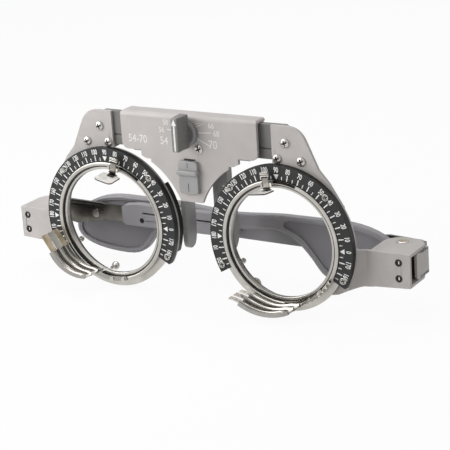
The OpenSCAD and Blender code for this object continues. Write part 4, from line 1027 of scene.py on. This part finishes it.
lampSetting = [
    {"name": "topSoftbox", "place": (-0.1, 0.12, 0.6), "aim": (0, 0, 0.03), "size": 0.5, "power": 1.9},
    {"name": "leftSoftbox", "place": (-0.25, -0.22, 0.18), "aim": (-0.02, 0, 0.03), "size": 0.34,
     "power": 1.3},
    {"name": "rightSoftbox", "place": (0.7, -0.3, 0.4), "aim": (0, 0, 0.03), "size": 0.4, "power": 0.55}]


def hangLamps():
    # square soft lights, each turned from its place to its aim, hidden from the camera
    for lamp in lampSetting:
        light = bpy.data.lights.new(lamp["name"], "AREA")
        light.size, light.energy = lamp["size"], lamp["power"]
        holder = bpy.data.objects.new(lamp["name"], light)
        holder.location = lamp["place"]
        aim = Vector(lamp["aim"]) - Vector(lamp["place"])
        holder.rotation_euler = aim.to_track_quat("-Z", "Y").to_euler()
        holder.visible_camera = False
        bpy.context.scene.collection.objects.link(holder)


skySetting = {
    "white": "#FFFFFF",
    "lighting": {"From Min": 0.0, "From Max": 0.75, "To Min": 0.08, "To Max": 0.36},
    "mirrored": {"From Min": 0.0, "From Max": 0.6, "To Min": 0.3, "To Max": 1.0}}


def raiseSky():
    # white dome, brighter upwards, dimmer for lighting than in mirrors, and full white to the camera
    world = bpy.data.worlds.new("studio_world")
    bpy.context.scene.world = world
    world.use_nodes = True
    tree = world.node_tree
    tree.nodes.clear()
    place = add(tree, "ShaderNodeTexCoord").outputs["Generated"]
    up = add(tree, "ShaderNodeSeparateXYZ", None, {"Vector": place}).outputs["Z"]
    lighting = add(tree, "ShaderNodeMapRange", skySetting["lighting"], {"Value": up})
    mirrored = add(tree, "ShaderNodeMapRange", skySetting["mirrored"], {"Value": up})
    camera, seen = seenRays(tree)
    strength = add(tree, "ShaderNodeMix", {"data_type": "FLOAT"},
                   {0: seen, 2: lighting.outputs["Result"], 3: mirrored.outputs["Result"]})
    lit = add(tree, "ShaderNodeMath", {"operation": "MAXIMUM"}, {0: strength.outputs[0], 1: camera})
    dome = add(tree, "ShaderNodeBackground", {"Color": fromHex(skySetting["white"])},
               {"Strength": lit.outputs["Value"]})
    add(tree, "ShaderNodeOutputWorld", None, {"Surface": dome.outputs["Background"]})


cameraSetting = {
    "place": (261.65, -412.47, 180.14), "yaw": 31.78, "pitch": 18.05, "roll": -3.74, "lens": 130.1,
    "sensor": 36.0, "near": 0.02, "far": 20.0}


def setCamera():
    # aimed by yaw, pitch and roll, found from the ring outlines; the picture is square
    c = cameraSetting
    yaw, pitch, roll = (math.radians(c[k]) for k in ("yaw", "pitch", "roll"))
    back = Vector((math.sin(yaw) * math.cos(pitch), -math.cos(yaw) * math.cos(pitch), math.sin(pitch)))
    right = (-back).cross(Vector((0, 0, 1))).normalized()
    up = right.cross(-back)
    x = math.cos(roll) * right + math.sin(roll) * up
    y = -math.sin(roll) * right + math.cos(roll) * up
    data = bpy.data.cameras.new("photoCamera")
    data.lens, data.sensor_width, data.sensor_fit = c["lens"], c["sensor"], "AUTO"
    data.clip_start, data.clip_end = c["near"], c["far"]
    holder = bpy.data.objects.new("photoCamera", data)
    turn = Matrix((x, y, back)).transposed().to_4x4()
    holder.matrix_world = Matrix.Translation(Vector(c["place"]) * mm) @ turn
    bpy.context.scene.collection.objects.link(holder)
    bpy.context.scene.camera = holder


layFloor()
hangLamps()
raiseSky()
setCamera()
bpy.context.scene.view_settings.view_transform = "Standard"
print("stage set")
